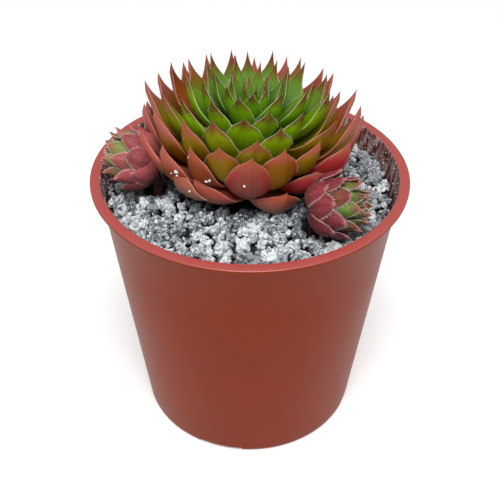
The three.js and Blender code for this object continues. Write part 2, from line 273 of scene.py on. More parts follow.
def evaluated_mesh(holder: bpy.types.Object) -> Mesh:
    """Takes the mesh that an object's curve or modifiers make, and removes the object."""
    graph = bpy.context.evaluated_depsgraph_get()
    mesh = bpy.data.meshes.new_from_object(holder.evaluated_get(graph))
    bpy.data.objects.remove(holder)
    return mesh


def add_piece(
    mesh: Mesh, materials: list[Material], replaces: str | None = None
) -> bpy.types.Object:
    """Makes a mesh a piece of the object.

    Args:
        mesh: The finished mesh, whose name the piece takes.
        materials: Its finishes, in the order of its faces' material numbers.
        replaces: The CAD node that it stands for, if any.

    Returns:
        The piece.
    """
    for material in materials:
        mesh.materials.append(material)
    piece = add_object(mesh.name, mesh)
    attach(piece, "root")
    if replaces:
        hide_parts(replaces)
    LOG.info("%s: %d faces", piece.name, len(mesh.polygons))
    return piece


def rgb(code: str) -> Array:
    """Turns an sRGB hex colour into linear red, green and blue."""
    return np.array(linear(code)[:3])


def blend(low: Array, high: Array, share: Array) -> Array:
    """Mixes two colours, or rows of them, by a share from 0 to 1 for each row."""
    weight = np.asarray(share, float)[..., None]
    return low * (1 - weight) + high * weight


@dataclass(frozen=True)
class Tint:
    """One leaf's colours: rows of body and point colour, and how far each point is turned."""

    body: Array
    tip: Array
    amount: Array
    redness: Array


@dataclass(frozen=True)
class Skin:
    """Houseleek skin: fleshy and satin under a faint waxy bloom, with a thin pale edge.

    The skin is smooth, so it gives a soft broad highlight. Its body and point colours come from
    the leaf itself, and the mottle and the lengthwise streaks break them up.
    """

    name: str
    edge: str
    red_edge: str
    edge_from: float = 0.955
    edge_full: float = 0.995
    edge_share: float = 0.85
    mottle_mm: float = 1.6
    mottled: float = 0.18
    veins: float = 5.0
    vein_shift: float = 90.0
    streaked: float = 0.13
    uneven: float = 0.08
    noise_core: Pair = (0.3, 0.7)
    roughness: float = 0.4
    specular: float = 0.12
    red_specular: float = 0.24
    sheen: float = 0.0
    bump_mm: float = 0.03
    grain_mm: float = 0.25
    grain_tops: Pair = (0.58, 0.74)
    frost: float = 0.1
    glow_mm: float = 1.2

    def material(self) -> Material:
        """Builds the leaf material, which reads its colours from the leaves' attributes."""
        surface = Surface(
            self.name,
            {
                "Roughness": self.roughness,
                "IOR": 1.42,
                "Subsurface Weight": 0.12,
                "Subsurface Radius": (1.0, 0.6, 0.25),
                "Subsurface Scale": self.glow_mm * MM,
                "Sheen Weight": self.sheen,
                "Sheen Roughness": 0.4,
            },
        )
        along, across, _ = surface.parts(surface.attribute("leaf"))
        amount, chance, redness = surface.parts(surface.attribute("growth"))
        body, tip = (surface.attribute(name, "Color") for name in ("body_colour", "tip_colour"))
        mottle = surface.noise(per_mm(self.mottle_mm), 4.0, 0.6)
        drift = surface.ranged(mottle, *self.noise_core, -self.mottled, self.mottled)
        uneven = surface.maths("ADD", drift, amount)
        where_some = surface.ranged(amount, 0.0, 0.3)
        tipped = surface.maths("MULTIPLY", uneven, where_some, clamped=True)
        colour = surface.mixed(tipped, body, tip)
        aside = surface.maths("ABSOLUTE", across)
        edging = surface.ranged(aside, self.edge_from, self.edge_full, 0.0, self.edge_share)
        edge = surface.mixed(redness, self.edge, self.red_edge)
        colour = surface.mixed(edging, colour, edge)
        grain = surface.noise(per_mm(self.grain_mm))
        down = surface.ranged(grain, *self.grain_tops, 0.0, self.frost)
        colour = surface.mixed(down, colour, edge)
        side = surface.maths("MULTIPLY", across, self.veins)
        own = surface.maths("MULTIPLY", chance, self.vein_shift)
        lines = surface.add("CombineXYZ", {}, {0: side, 1: along, 2: own}).outputs[0]
        streak = surface.noise(1.0, 3.0, 0.6, lines)
        streaked = surface.ranged(streak, *self.noise_core, -self.streaked, self.streaked)
        shade = surface.ranged(chance, 0.0, 1.0, 1 - self.uneven, 1 + self.uneven)
        lit = surface.maths("ADD", shade, streaked)
        final = surface.add("HueSaturation", {}, {"Value": lit, "Color": colour})
        surface.feed("Base Color", final.outputs[0])
        gloss = surface.ranged(redness, 0.0, 1.0, self.specular, self.red_specular)
        surface.feed("Specular IOR Level", gloss)
        surface.bumped(grain, 0.3, self.bump_mm)
        return surface.material

    def tint(self, leaf: "Leaf", along: Array, around: Array) -> Tint:
        """Colours one leaf's skin point by point.

        Args:
            leaf: The leaf.
            along: Each point's share of the leaf's length.
            around: Each point's angle round the leaf's section.

        Returns:
            The leaf's colours.
        """
        raise NotImplementedError


@dataclass(frozen=True)
class LeafSkin(Skin):
    """The skin of grown leaves: green where young, olive, amber and red as they age.

    Every point is blushed: dark brown on the young leaves and pink-red on the outer ones. The
    inner faces at the back carry the bloom, so they are paler and bluer toward their feet. The
    pairs of numbers are the ages, shares of the length or sides that a change starts and ends at.
    """

    name: str = "houseleek_leaf_skin"
    edge: str = "#dfe2c4"
    red_edge: str = "#dc9a8c"
    young: str = "#629204"
    grown: str = "#7da200"
    growing: Pair = (0.1, 0.42)
    bloomed: str = "#568230"
    bloomed_foot: str = "#76965c"
    bloom_along: Pair = (0.45, 0.85)
    bloom_face: Pair = (0.1, 0.6)
    bloom_far: Pair = (-0.2, 0.5)
    bloom_ages: Pair = (0.1, 0.4)
    bloom_least: float = 0.4
    # Painted shade: the inner faces of the young leaves low in the heart are darkened toward this
    # colour, for the shade in the heart's deep gaps.
    painted_shade_foot: str = "#3a5a0e"
    shade: float = 0.6
    shade_ages: Pair = (0.45, 0.25)
    shade_along: Pair = (0.8, 0.5)
    shade_face: Pair = (-0.1, 0.4)
    ages: tuple = (
        (0.22, "#84730a"), (0.42, "#8a6408"), (0.6, "#863e06"),
        (0.75, "#8a3e24"), (0.9, "#8e4b3c"), (1.15, "#a82e30"),
    )
    reddening: Pair = (0.06, 0.34)
    ageing_from: float = 0.38
    ageing_over: float = 0.42
    ageing_power: float = 1.2
    younger_aside: float = 0.3
    red_chance: float = 0.08
    red_along: float = 0.14
    red_edges: float = 0.2
    # The oldest leaves turn pale toward their feet on their outer faces: partly their own pallor,
    # partly a painted highlight.
    pale_foot: str = "#9c8870"
    pale_foot_and_highlight: float = 0.6
    pale_foot_ages: Pair = (0.84, 0.95)
    pale_foot_along: Pair = (0.98, 0.5)
    pale_foot_face: float = 0.2
    brown_point: str = "#5a2c10"
    warm_point: str = "#9c4c34"
    pink_point: str = "#aa5a53"
    warm_ages: Pair = (0.4, 0.6)
    outer_ages: Pair = (0.3, 0.75)
    outer_side: Pair = (0.55, 1.0)
    point_ages: Pair = (0.25, 0.45)
    point_start: float = 0.74
    point_end: float = 0.96
    point_full: float = 0.92
    fuller_outer: float = 0.06
    down_edges: float = 0.09
    edge_band: Pair = (0.7, 1.0)
    edge_along: Pair = (0.5, 0.75)
    smaller_aged: float = 0.08
    larger_outer: Pair = (0.18, 0.05)
    larger_far: Pair = (0.06, 0.02)
    warmer_far: float = 0.35

    def redness(self, leaf: "Leaf", along: Array, across: Array) -> Array:
        """How far a leaf has turned from green to red, which starts at its point and edges."""
        side, back = abs(math.cos(leaf.azimuth)), max(0.0, math.sin(leaf.azimuth))
        aged = min(max((leaf.age - self.ageing_from) / self.ageing_over, 0.0), 1.0)
        aged **= self.ageing_power
        base = aged * (1 - self.younger_aside * max(side, back))
        base += self.red_chance * (leaf.chance - 0.5) + leaf.growth.reddened.get(leaf.count, 0.0)
        return base + self.red_along * (along - 0.5) + self.red_edges * (across**2 - 0.5) * aged

    def green(self, leaf: "Leaf", along: Array, face: Array) -> Array:
        """The green under the red: bloomed on inner faces at the back, and darkened with painted
        shade low on the inner faces in the heart.
        """
        age, far = leaf.age, math.sin(leaf.azimuth)
        plain = blend(rgb(self.young), rgb(self.grown), smoothstep(age, *self.growing))
        share = smoothstep(along, *self.bloom_along)
        waxy = blend(rgb(self.bloomed_foot), rgb(self.bloomed), share)
        bloom = smoothstep(face, *self.bloom_face) * smoothstep(far, *self.bloom_far)
        bloom *= self.bloom_least * (1 + smoothstep(age, *self.bloom_ages))
        # Painted shade in the heart, on inner faces near the young leaves' feet.
        heart_painted_shade = smoothstep(age, *self.shade_ages) * smoothstep(along, *self.shade_along)
        heart_painted_shade = self.shade * heart_painted_shade * smoothstep(face, *self.shade_face)
        return blend(blend(plain, waxy, bloom), rgb(self.painted_shade_foot), heart_painted_shade)

    def tint(self, leaf: "Leaf", along: Array, around: Array) -> Tint:
        """Colours one leaf by its age and its side of the plant."""
        across, face = np.abs(np.cos(around)), np.sin(around)
        age, far, side = leaf.age, math.sin(leaf.azimuth), abs(math.cos(leaf.azimuth))
        red = self.redness(leaf, along, across)
        stops, codes = zip(*self.ages)
        channels = np.array([rgb(code) for code in codes]).T
        turned = np.stack([np.interp(red, stops, channel) for channel in channels], axis=1)
        much = smoothstep(red, *self.reddening)
        body = blend(self.green(leaf, along, face), turned, much)
        # Pale foot of the oldest leaves: partly their own pallor, partly a painted highlight.
        pale_foot_and_highlight = self.pale_foot_and_highlight * smoothstep(age, *self.pale_foot_ages) * smoothstep(along, *self.pale_foot_along)
        body = blend(body, rgb(self.pale_foot), pale_foot_and_highlight * (face < self.pale_foot_face))
        outer = smoothstep(age, *self.outer_ages)
        outer *= smoothstep(max(side, far), *self.outer_side)
        outer *= 1 - min(leaf.growth.reddened.get(leaf.count, 0.0), 1.0)
        far_side = max(far, 0.0) * (1 - outer)
        near_edge = smoothstep(across, *self.edge_band) * smoothstep(along, *self.edge_along)
        place = along + self.down_edges * near_edge
        start = self.point_start + self.smaller_aged * smoothstep(age, *self.point_ages)
        start -= self.larger_outer[0] * outer + self.larger_far[0] * far_side
        end = self.point_end - self.larger_outer[1] * outer - self.larger_far[1] * far_side
        full = self.point_full + self.fuller_outer * outer
        amount = full * smoothstep(place, start, end)
        warm = blend(rgb(self.warm_point), rgb(self.pink_point), outer)
        warmth = np.clip(smoothstep(age, *self.warm_ages) + self.warmer_far * far_side, 0, 1)
        tip = blend(rgb(self.brown_point), warm, warmth)
        return Tint(body, np.tile(tip, (len(along), 1)), amount, much)


@dataclass(frozen=True)
class YoungSkin(Skin):
    """The skin of the closed young heads: deep pink-red, downy, and green at the heart."""

    name: str = "young_houseleek_skin"
    edge: str = "#d9a79f"
    red_edge: str = "#d9a79f"
    edge_from: float = 0.9
    edge_share: float = 0.7
    mottle_mm: float = 1.1
    mottled: float = 0.3
    veins: float = 4.0
    streaked: float = 0.22
    uneven: float = 0.16
    roughness: float = 0.46
    specular: float = 0.22
    sheen: float = 0.06
    bump_mm: float = 0.05
    frost: float = 0.45
    rose: str = "#96464a"
    deep: str = "#661f2b"
    earthy: str = "#6c4a30"
    heart: str = "#6c8238"
    frosted: str = "#b3716e"
    heart_point: str = "#8c3236"
    tipped: float = 0.6
    rose_along: Pair = (0.2, 0.8)
    earthy_share: float = 0.45
    earthy_chance: Pair = (0.4, 0.9)
    earthy_along: Pair = (0.8, 0.3)
    green_ages: Pair = (0.56, 0.3)
    green_along: Pair = (1.0, 0.7)
    frost_ages: Pair = (0.2, 0.5)
    point_along: Pair = (0.86, 0.98)

    def tint(self, leaf: "Leaf", along: Array, around: Array) -> Tint:
        """Colours one leaf of a young head: darker at its foot, frosted at its point."""
        age = leaf.age
        red = blend(rgb(self.deep), rgb(self.rose), smoothstep(along, *self.rose_along))
        browning = smoothstep(leaf.chance, *self.earthy_chance)
        low = self.earthy_share * browning * smoothstep(along, *self.earthy_along)
        red = blend(red, rgb(self.earthy), low)
        greening = smoothstep(age, *self.green_ages) * smoothstep(along, *self.green_along)
        body = blend(red, rgb(self.heart), greening)
        tip = blend(rgb(self.heart_point), rgb(self.frosted), smoothstep(age, *self.frost_ages))
        amount = self.tipped * smoothstep(along, *self.point_along)
        return Tint(body, np.tile(tip, (len(along), 1)), amount, np.ones_like(along))


@dataclass(frozen=True)
class LeafHair:
    """The short stiff hairs along the leaves' edges: clear white, so they catch the light."""

    colour: str = "#f1ece4"
    second: str = "#e8cfc8"
    patch_mm: float = 10 / 3

    def material(self) -> Material:
        """Builds the hairs' material, whose tint changes a little along the plant."""
        settings = {"Roughness": 0.35, "IOR": 1.5, "Subsurface Weight": 0.2}
        surface = Surface("leaf_edge_hair", settings)
        tint = surface.mixed(surface.noise(per_mm(self.patch_mm)), self.second, self.colour)
        surface.feed("Base Color", tint)
        return surface.material


@dataclass(frozen=True)
class Pumice:
    """Crushed pumice: a white frothy volcanic glass, matt, with grey glassy crystals in it."""

    name: str = "crushed_pumice"
    light: str = "#f0f3f5"
    mid: str = "#b4babe"
    dark: str = "#555a60"
    glassy: str = "#8e9499"
    patch_mm: float = 0.6
    pit_mm: float = 0.25
    pit_depth: float = 0.12
    own_tone: float = 0.11
    tone_stops: Trio = (0.39, 0.5, 0.64)
    roughness: Pair = (0.85, 0.25)

    def material(self) -> Material:
        """Builds the grit's material, where each grain has its own tone."""
        settings = {"IOR": 1.5, "Subsurface Weight": 0.08, "Subsurface Scale": 0.8 * MM}
        surface = Surface(self.name, settings)
        tone, clear, _ = surface.parts(surface.attribute("grain"))
        patch = surface.noise(per_mm(self.patch_mm), 6.0, 0.72)
        toned = surface.maths("MULTIPLY_ADD", tone, self.own_tone, patch)
        ramp = surface.add("ValToRGB", {}, {0: toned})
        stops = ramp.color_ramp.elements
        stops.new(0.5)
        tones = (self.dark, self.mid, self.light)
        for stop, position, colour in zip(stops, self.tone_stops, tones):
            stop.position = position
            stop.color = linear(colour)
        surface.feed("Base Color", surface.mixed(clear, ramp.outputs[0], self.glassy))
        surface.feed("Roughness", surface.ranged(clear, 0.0, 1.0, *self.roughness))
        pits = surface.add("TexVoronoi", {"Scale": per_mm(self.pit_mm)}, {"Vector": surface.place})
        surface.bumped(pits.outputs["Distance"], 0.7, self.pit_depth)
        return surface.material


@dataclass(frozen=True)
class PottingMix:
    """Moist peat and bark mix: dark, matt and crumbly."""

    dark: str = "#1d1510"
    light: str = "#3c2c20"
    crumb_mm: float = 2.0
    crumb_depth: float = 0.8

    def material(self) -> Material:
        """Builds the soil's material from one noise, as colour and as relief."""
        surface = Surface("potting_mix_soil", {"Roughness": 0.95})
        crumb = surface.noise(per_mm(self.crumb_mm), 6.0, 0.7)
        surface.feed("Base Color", surface.mixed(crumb, self.dark, self.light))
        surface.bumped(crumb, 0.9, self.crumb_depth)
        return surface.material


@dataclass(frozen=True)
class NurseryPlastic:
    """Thin injection-moulded polypropylene, terracotta-coloured, with a satin skin.

    Dust lies where the fleck noise is high: its range says from where to where, and how much.
    """

    name: str = "terracotta_polypropylene"
    colour: str = "#832e11"
    second: str = "#742b10"
    specular: float = 0.1
    dust: str = "#d9d2cc"
    dust_range: tuple[float, float, float, float] = (0.74, 0.8, 0.0, 0.35)
    upright: float = 1.0
    flow_mm: float = 18.0
    fleck_mm: float = 1.6
    fine_mm: float = 0.5
    fine_depth: float = 0.03
    roughness: Pair = (0.34, 0.46)

    def material(self) -> Material:
        """Builds the pot's material, with a little grit dust on it."""
        surface = Surface(self.name, {"IOR": 1.49, "Specular IOR Level": self.specular})
        flow = surface.noise(per_mm(self.flow_mm), 3.0)
        colour = surface.mixed(flow, self.second, self.colour)
        squeeze = {"Scale": (1.0, 1.0, self.upright)}
        drawn = surface.add("Mapping", squeeze, {"Vector": surface.place}).outputs[0]
        fleck = surface.noise(per_mm(self.fleck_mm), 5.0, 0.7, drawn)
        dusted = surface.ranged(fleck, *self.dust_range)
        surface.feed("Base Color", surface.mixed(dusted, colour, self.dust))
        surface.feed("Roughness", surface.ranged(flow, 0.0, 1.0, *self.roughness))
        surface.bumped(surface.noise(per_mm(self.fine_mm)), 0.15, self.fine_depth)
        return surface.material


@dataclass
class Growth:
    """How a head grows: where each leaf starts, points and bends, by its age from 0 to 1.

    Each path gives distance from the axis and height at even steps of age. The dicts hold the
    leaves that stand out of the rule, by their count from the heart.
    """

    leaf_count: int
    first_angle: float
    turn: float
    pull: float
    root_path: tuple
    tip_path: tuple
    root_rise: tuple
    tip_rise: tuple
    width: tuple
    thickness: tuple
    core: tuple
    fallen: tuple = ()
    out_of_turn: dict = field(default_factory=dict)
    rolled: dict = field(default_factory=dict)
    swept: dict = field(default_factory=dict)
    reddened: dict = field(default_factory=dict)
    broad: dict = field(default_factory=dict)
    raised: dict = field(default_factory=dict)
    slender: float = 0.0
    seed: int = 1
    shoulder: Pair = (0.56, 0.43)
    cusp: Pair = (0.32, 0.13)


# Out of turn is in degrees round, millimetres out and millimetres up.
ROSETTE = Growth(
    leaf_count=80,
    first_angle=289.5,
    turn=-137.44,
    pull=0.46,
    root_path=((0.8, 89.5), (2.4, 86.4), (3.8, 83.2), (5.2, 80.4), (6.4, 78.2), (7.4, 76.8)),
    tip_path=((1.6, 101.4), (11.0, 104.4), (19.4, 102.2), (25.4, 99.6), (28.2, 95.8), (27.6, 85.0)),
    root_rise=(84, 58, 34, 15, 0, 12),
    tip_rise=(90, 88, 84, 80, 82, 102),
    width=(3.6, 7.2, 9.2, 10.4, 12.2, 12.6),
    thickness=(1.2, 1.7, 2.1, 2.4, 2.7, 3.4),
    core=((0, 75.4), (3.6, 75.4), (6.4, 77.2), (7.0, 78.6), (6.4, 80.6), (4.2, 84.6), (0, 89.0)),
    fallen=(73,),
    out_of_turn={
        8: (0, -1, -1), 13: (0, 2.5, 1), 16: (0, -1.5, -1.5), 18: (0, 2, -0.5),
        20: (0, -1, -0.5), 21: (0, 2.5, -0.5), 23: (0, 1, -1), 26: (0, 0.5, -2),
        27: (0, -0.5, 1), 29: (0, -1, -1), 34: (-5, 0, -1.5), 35: (0, 2.5, 1),
        37: (0, 0.5, 1), 39: (0, 1.5, -1.5), 42: (-5, 1, -0.5), 43: (0, -2, 1),
        44: (0, -2, 0), 45: (2, -0.5, 0.5), 46: (0, 0, -2.5), 47: (0, 0, -2.5),
        48: (0, 2, 0), 49: (0, 1, -1), 50: (-5.3, -0.5, -1.5), 52: (0, 2, 2.5),
        53: (0, -0.5, 1), 55: (-3.5, 0, 0.5), 56: (0, 1, 0), 57: (0, 1, 0.5),
        58: (-2, -1.5, -2), 60: (0, 2.5, 0.5), 62: (0, 1, 0.5), 63: (-1.4, -1, 0.5),
        64: (0, -0.5, 2), 65: (0, 0.5, 0.5), 66: (0, -0.5, -1), 68: (2, -4.2, -4.2),
        70: (0, -2, 1.5), 71: (3, -3.2, -5.2), 74: (0, 0.5, 4), 76: (-3, -4.2, -3),
        79: (5, -0.9, 2.4),
    },
    rolled={39: -0.25, 58: -0.25, 60: -0.35, 68: -0.1, 71: -0.35, 76: -0.15, 79: -0.4},
    swept={68: 6.0, 71: -8.0, 76: 5.0, 79: -7.5},
    reddened={
        30: 0.1, 35: 0.5, 39: 0.12, 42: -0.06, 50: -0.14, 55: -0.17, 60: 0.6, 65: 0.2,
        66: -0.12, 68: 0.5, 70: 0.4, 71: 0.1, 74: 0.3,
    },
    broad={29: 1.15, 34: 1.08, 57: 0.8, 60: 0.8, 68: 1.12},
    raised={60: 2.0, 68: 1.2},
    slender=0.24,
    seed=11,
)

BUD = Growth(
    leaf_count=30,
    first_angle=0,
    turn=137.508,
    pull=0.42,
    root_path=((0.8, 8.0), (1.8, 6.4), (2.6, 4.6), (2.8, 3.0), (2.6, 1.8), (2.4, 0.8)),
    tip_path=((1.0, 15.4), (3.2, 15.8), (5.4, 14.6), (7.2, 12.4), (8.2, 9.8), (8.0, 6.8)),
    root_rise=(78, 46, 26, 10, 0, -8),
    tip_rise=(90, 88, 84, 82, 82, 84),
    width=(2.6, 4.4, 5.8, 6.8, 7.4, 7.4),
    thickness=(0.8, 0.9, 1.0, 1.1, 1.2, 1.2),
    core=((0, 0), (2.6, 0.2), (4.4, 2.4), (4.8, 5.0), (3.6, 8.2), (0, 10.6)),
    shoulder=(0.6, 0.6),
    cusp=(0.16, 0.16),
)


class LeafPart(Enum):
    """The places on a leaf that other pieces are set on."""

    LEFT_EDGE = math.pi
    RIGHT_EDGE = 0.0


@dataclass
class Leaf:
    """One leaf of a head, in millimetres about the head's own axis."""

    growth: Growth
    count: int
    chance: float
    curl: float
    bend: float
    twist: float
    cup: float = 0.38
    cup_old: float = 0.2
    cup_tip: float = 0.8
    cup_from: float = 0.65
    edge: float = 0.15
    edge_most: float = 0.4
    front: float = 0.3
    back: float = 0.7
    filled: float = 0.35
    foot_narrow: float = 0.5
    thinnest: float = 0.02
    tip_thin: float = 0.6
    thinning: Pair = (0.55, 0.95)
    upper: Pair = (0.45, 0.8)
    roundness: float = 1.4
    keel: float = 0.16
    keel_width: float = 0.22
    curl_from: float = 0.72
    roll_by: float = 0.4
    nib_share: float = 0.35

    def __post_init__(self) -> None:
        """Works out the leaf's age, direction and midrib."""
        growth = self.growth
        self.age = self.count / (growth.leaf_count - 1)
        around, reach, lift = growth.out_of_turn.get(self.count, (0, 0, 0))
        self.azimuth = math.radians(growth.first_angle + self.count * growth.turn + around)
        root = at_age(growth.root_path, self.age) + np.array([0, growth.raised.get(self.count, 0)])
        tip = at_age(growth.tip_path, self.age) + np.array([reach, lift])
        pull = np.linalg.norm(tip - root) * growth.pull
        start = math.radians(at_age(growth.root_rise, self.age))
        end = math.radians(at_age(growth.tip_rise, self.age))
        leave = root + pull * np.array([math.cos(start), math.sin(start)])
        arrive = tip - pull * np.array([math.cos(end), math.sin(end)])
        self.midrib = np.array([root, leave, arrive, tip])
        self.roll = growth.rolled.get(self.count, 0.0)
        self.sweep = growth.swept.get(self.count, 0.0)
        self.shoulder = float(at_age(growth.shoulder, self.age))
        slender = growth.slender * (1 + min(0.0, math.sin(self.azimuth)))
        self.cusp = float(at_age(growth.cusp, self.age)) + slender
        self.nib = self.nib_share - 0.5 * slender
        self.half_width = at_age(growth.width, self.age) / 2 * growth.broad.get(self.count, 1.0)
        self.thick = at_age(growth.thickness, self.age)

    def line(self, along: Array) -> tuple[Array, Array]:
        """Points of the midrib and its directions, as distance from the axis and height."""
        t = along[:, None]
        a, b, c, d = self.midrib
        point = (1 - t) ** 3 * a + 3 * t * (1 - t) ** 2 * b + 3 * t**2 * (1 - t) * c + t**3 * d
        way = 3 * (1 - t) ** 2 * (b - a) + 6 * t * (1 - t) * (c - b) + 3 * t**2 * (d - c)
        return point, unit(way)

    def half(self, along: Array) -> Array:
        """Half the leaf's width, which has a shoulder and then runs to a fine nib."""
        pull = self.growth.pull
        done = 3 * (1 - along) ** 2 * along * pull + 3 * (1 - along) * along**2 * (1 - pull)
        to_go = 1 - done - along**3
        fall = 1 - np.clip(1 - to_go / self.shoulder, 0, 1) ** 2
        fall *= self.nib + (1 - self.nib) * smoothstep(to_go, 0, self.cusp)
        rise = 1 - self.foot_narrow * smoothstep(to_go, self.shoulder, 1.1)
        half = self.half_width * np.maximum(rise * fall, self.thinnest)
        return np.where((along < 1e-6) | (along > 1 - 1e-6), 0, half)

    def points(self, along: Array, around: Array) -> Array:
        """Places on the leaf's skin.

        Args:
            along: Shares of the leaf's length, from its root at 0 to its point at 1.
            around: Angles round the section: 0 and pi are the edges, pi / 2 is the front.

        Returns:
            Rows of x, y and z in millimetres.
        """
        point, way = self.line(along)
        across, face = np.cos(around), np.sin(around)
        half = self.half(along)
        body = self.thick * (1 - self.tip_thin * smoothstep(along, *self.thinning))
        body = np.minimum(body, half * self.roundness)
        upper = smoothstep(along, *self.upper)
        share = np.where(face > 0, self.front + self.filled * self.age * (1 - upper), self.back)
        keel = self.keel * body * np.exp(-((across / self.keel_width) ** 2)) * upper
        cup = self.cup - self.cup_old * self.age
        cup = cup * (1 + self.cup_tip * smoothstep(along, self.cup_from, 1))
        inward = cup * half * across**2 + share * body * face * np.abs(face)
        inward += np.minimum(self.edge, half * self.edge_most) * face
        inward -= np.where(face < 0, keel, 0)
        inward -= self.curl * np.clip((along - self.curl_from) / (1 - self.curl_from), 0, 1) ** 2
        aside = half * across + self.bend * along**3 + self.sweep * along**1.5
        turn = self.twist * along + self.roll * smoothstep(along, 0, self.roll_by)
        aside, inward = (
            aside * np.cos(turn) - inward * np.sin(turn),
            aside * np.sin(turn) + inward * np.cos(turn),
        )
        radius = point[:, 0] - inward * way[:, 1]
        height = point[:, 1] + inward * way[:, 0]
        cos, sin = math.cos(self.azimuth), math.sin(self.azimuth)
        return np.stack([cos * radius - sin * aside, sin * radius + cos * aside, height], axis=1)


def barked(mesh: Mesh) -> Mesh:
    """Gives a stem the attributes and the brown of an old leaf's foot, and returns it."""
    brown = rgb("#5c362a")
    rows = {"leaf": (0, 0, 0), "growth": (0, 0, 0.7), "body_colour": brown, "tip_colour": brown}
    for label, row in rows.items():
        write_attribute(mesh, label, np.tile(np.array(row, float), (len(mesh.vertices), 1)))
    mesh.shade_smooth()
    return mesh


@dataclass
class Head:
    """A head of leaves round a short stem, with hairs along the leaves' edges."""

    growth: Growth
    placing: Matrix
    skin: Skin
    sections: int = 18
    rings: int = 28
    curls: Pair = (-0.2, 1.0)
    bends: float = 0.5
    twists: float = 0.1
    hair_spacing: float = 0.6
    hair_length: float = 0.42
    hair_radius: float = 0.035
    hair_bias: float = 1.0
    hair_from: float = 0.3
    hair_to: float = 0.97
    hair_lean: Trio = (0.7, 0.65, 0.3)
    hair_uneven: Pair = (0.6, 1.25)
    hair_sunk: float = 0.05
    hair_step: float = 0.02
    hair_facing: Trio = (0.31, 0.52, 0.79)
    haired: float = 0.75
    hairs_least: int = 6
    crowded_to_point: float = 1.25

    def __post_init__(self) -> None:
        """Draws each leaf's small differences, in the order of the leaves' ages."""
        draw = random.Random(self.growth.seed)
        self.leaves = []
        for count in range(self.growth.leaf_count):
            leaf = Leaf(
                self.growth,
                count,
                chance=draw.random(),
                curl=draw.uniform(*self.curls),
                bend=draw.uniform(-self.bends, self.bends),
                twist=draw.uniform(-self.twists, self.twists),
            )
            if count not in self.growth.fallen:
                self.leaves.append(leaf)

    def placed(self, points: Array) -> Array:
        """Puts points of the head's own space, in millimetres, in the object's, in metres."""
        turn = np.array(self.placing.to_3x3())
        return (points @ turn.T + np.array(self.placing.translation)) * MM

    def template(self) -> Mesh:
        """A sphere whose poles become a leaf's root and point."""
        bm = bmesh.new()
        bmesh.ops.create_uvsphere(bm, u_segments=self.sections, v_segments=self.rings, radius=1.0)
        return mesh_of(bm, "leaf_template")

    def leaf_mesh(self, name: str) -> Mesh:
        """Builds all the leaves as one mesh, with the attributes that the skin reads."""
        template = self.template()
        ball = points_of(template)
        share = 1 - np.arccos(np.clip(ball[:, 2], -1, 1)) / math.pi
        along = 1 - (1 - share) ** self.crowded_to_point
        around = np.arctan2(ball[:, 1], ball[:, 0])
        places, rows = [], {"leaf": [], "growth": [], "body_colour": [], "tip_colour": []}
        for leaf in self.leaves:
            places.append(self.placed(leaf.points(along, around)))
            tint = self.skin.tint(leaf, along, around)
            chance = np.full_like(along, leaf.chance)
            rows["leaf"].append(np.stack([along, np.cos(around), np.sin(around)], axis=1))
            rows["growth"].append(np.stack([tint.amount, chance, tint.redness], axis=1))
            rows["body_colour"].append(tint.body)
            rows["tip_colour"].append(tint.tip)
        mesh = repeated(template, len(self.leaves), name)
        move_points(mesh, np.concatenate(places))
        for label, values in rows.items():
            write_attribute(mesh, label, np.concatenate(values))
        mesh.shade_smooth()
        bpy.data.meshes.remove(template)
        return mesh

    def core_mesh(self) -> Mesh:
        """Builds the stem that the leaves grow from."""
        mesh = spun(list(self.growth.core), 24, "core")
        move_points(mesh, self.placed(points_of(mesh) / MM))
        return barked(mesh)

    def hair(self, leaf: Leaf, edge: LeafPart, share: float, draw: random.Random) -> tuple:
        """Draws one hair: its root, its length and its direction, forward off the leaf's edge."""
        along = self.hair_from + (self.hair_to - self.hair_from) * share**self.hair_bias
        trio = np.array([along, along, along + self.hair_step])
        turn = np.array([edge.value, math.pi / 2, edge.value])
        root, middle, ahead = leaf.points(trio, turn)
        out = unit(root - middle)
        stray = np.array([draw.uniform(-1, 1) for _ in range(3)])
        off, forward, wild = self.hair_lean
        way = off * out + forward * unit(ahead - root) + wild * stray
        long = self.hair_length * draw.uniform(*self.hair_uneven)
        return root - out * self.hair_sunk, long, unit(way)

    def hair_mesh(self, name: str) -> Mesh:
        """Builds the hairs: thin cones that lean forward off both edges of each leaf."""
        draw = random.Random(self.growth.seed + 100)
        bm = bmesh.new()
        bmesh.ops.create_cone(bm, cap_ends=True, segments=3, radius1=1.0, radius2=0.0, depth=1.0)
        bmesh.ops.remove_doubles(bm, verts=bm.verts, dist=1e-6)
        template = mesh_of(bm, "hair_template")
        cone = points_of(template)
        places = []
        for leaf in self.leaves:
            length = float(np.linalg.norm(leaf.midrib[3] - leaf.midrib[0]))
            steps = max(self.hairs_least, int(length * self.haired / self.hair_spacing))
            for edge in LeafPart:
                for step in range(steps):
                    share = (step + draw.random()) / steps
                    root, long, way = self.hair(leaf, edge, share, draw)
                    side = unit(np.cross(way, self.hair_facing))
                    wide = np.outer(cone[:, 0], side) + np.outer(cone[:, 1], np.cross(way, side))
                    reach = np.outer((cone[:, 2] + 0.5) * long, way)
                    places.append(root + reach + wide * self.hair_radius)
        mesh = repeated(template, len(places), name)
        move_points(mesh, self.placed(np.concatenate(places)))
        bpy.data.meshes.remove(template)
        return mesh

    def spot(self, count: int, along: float, across: float) -> Vector:
        """A place on the back of one leaf, in metres."""
        leaf = next(leaf for leaf in self.leaves if leaf.count == count)
        around = -math.acos(across)
        return Vector(self.placed(leaf.points(np.array([along]), np.array([around])))[0])


def joined(meshes: list[Mesh], name: str) -> Mesh:
    """Joins meshes into one, which keeps their attributes."""
    parts = [add_object(mesh.name, mesh) for mesh in meshes]
    first = parts[0]
    with bpy.context.temp_override(
        active_object=first, object=first, selected_editable_objects=parts
    ):
        bpy.ops.object.join()
    mesh = first.data
    bpy.data.objects.remove(first)
    mesh.name = name
    return mesh


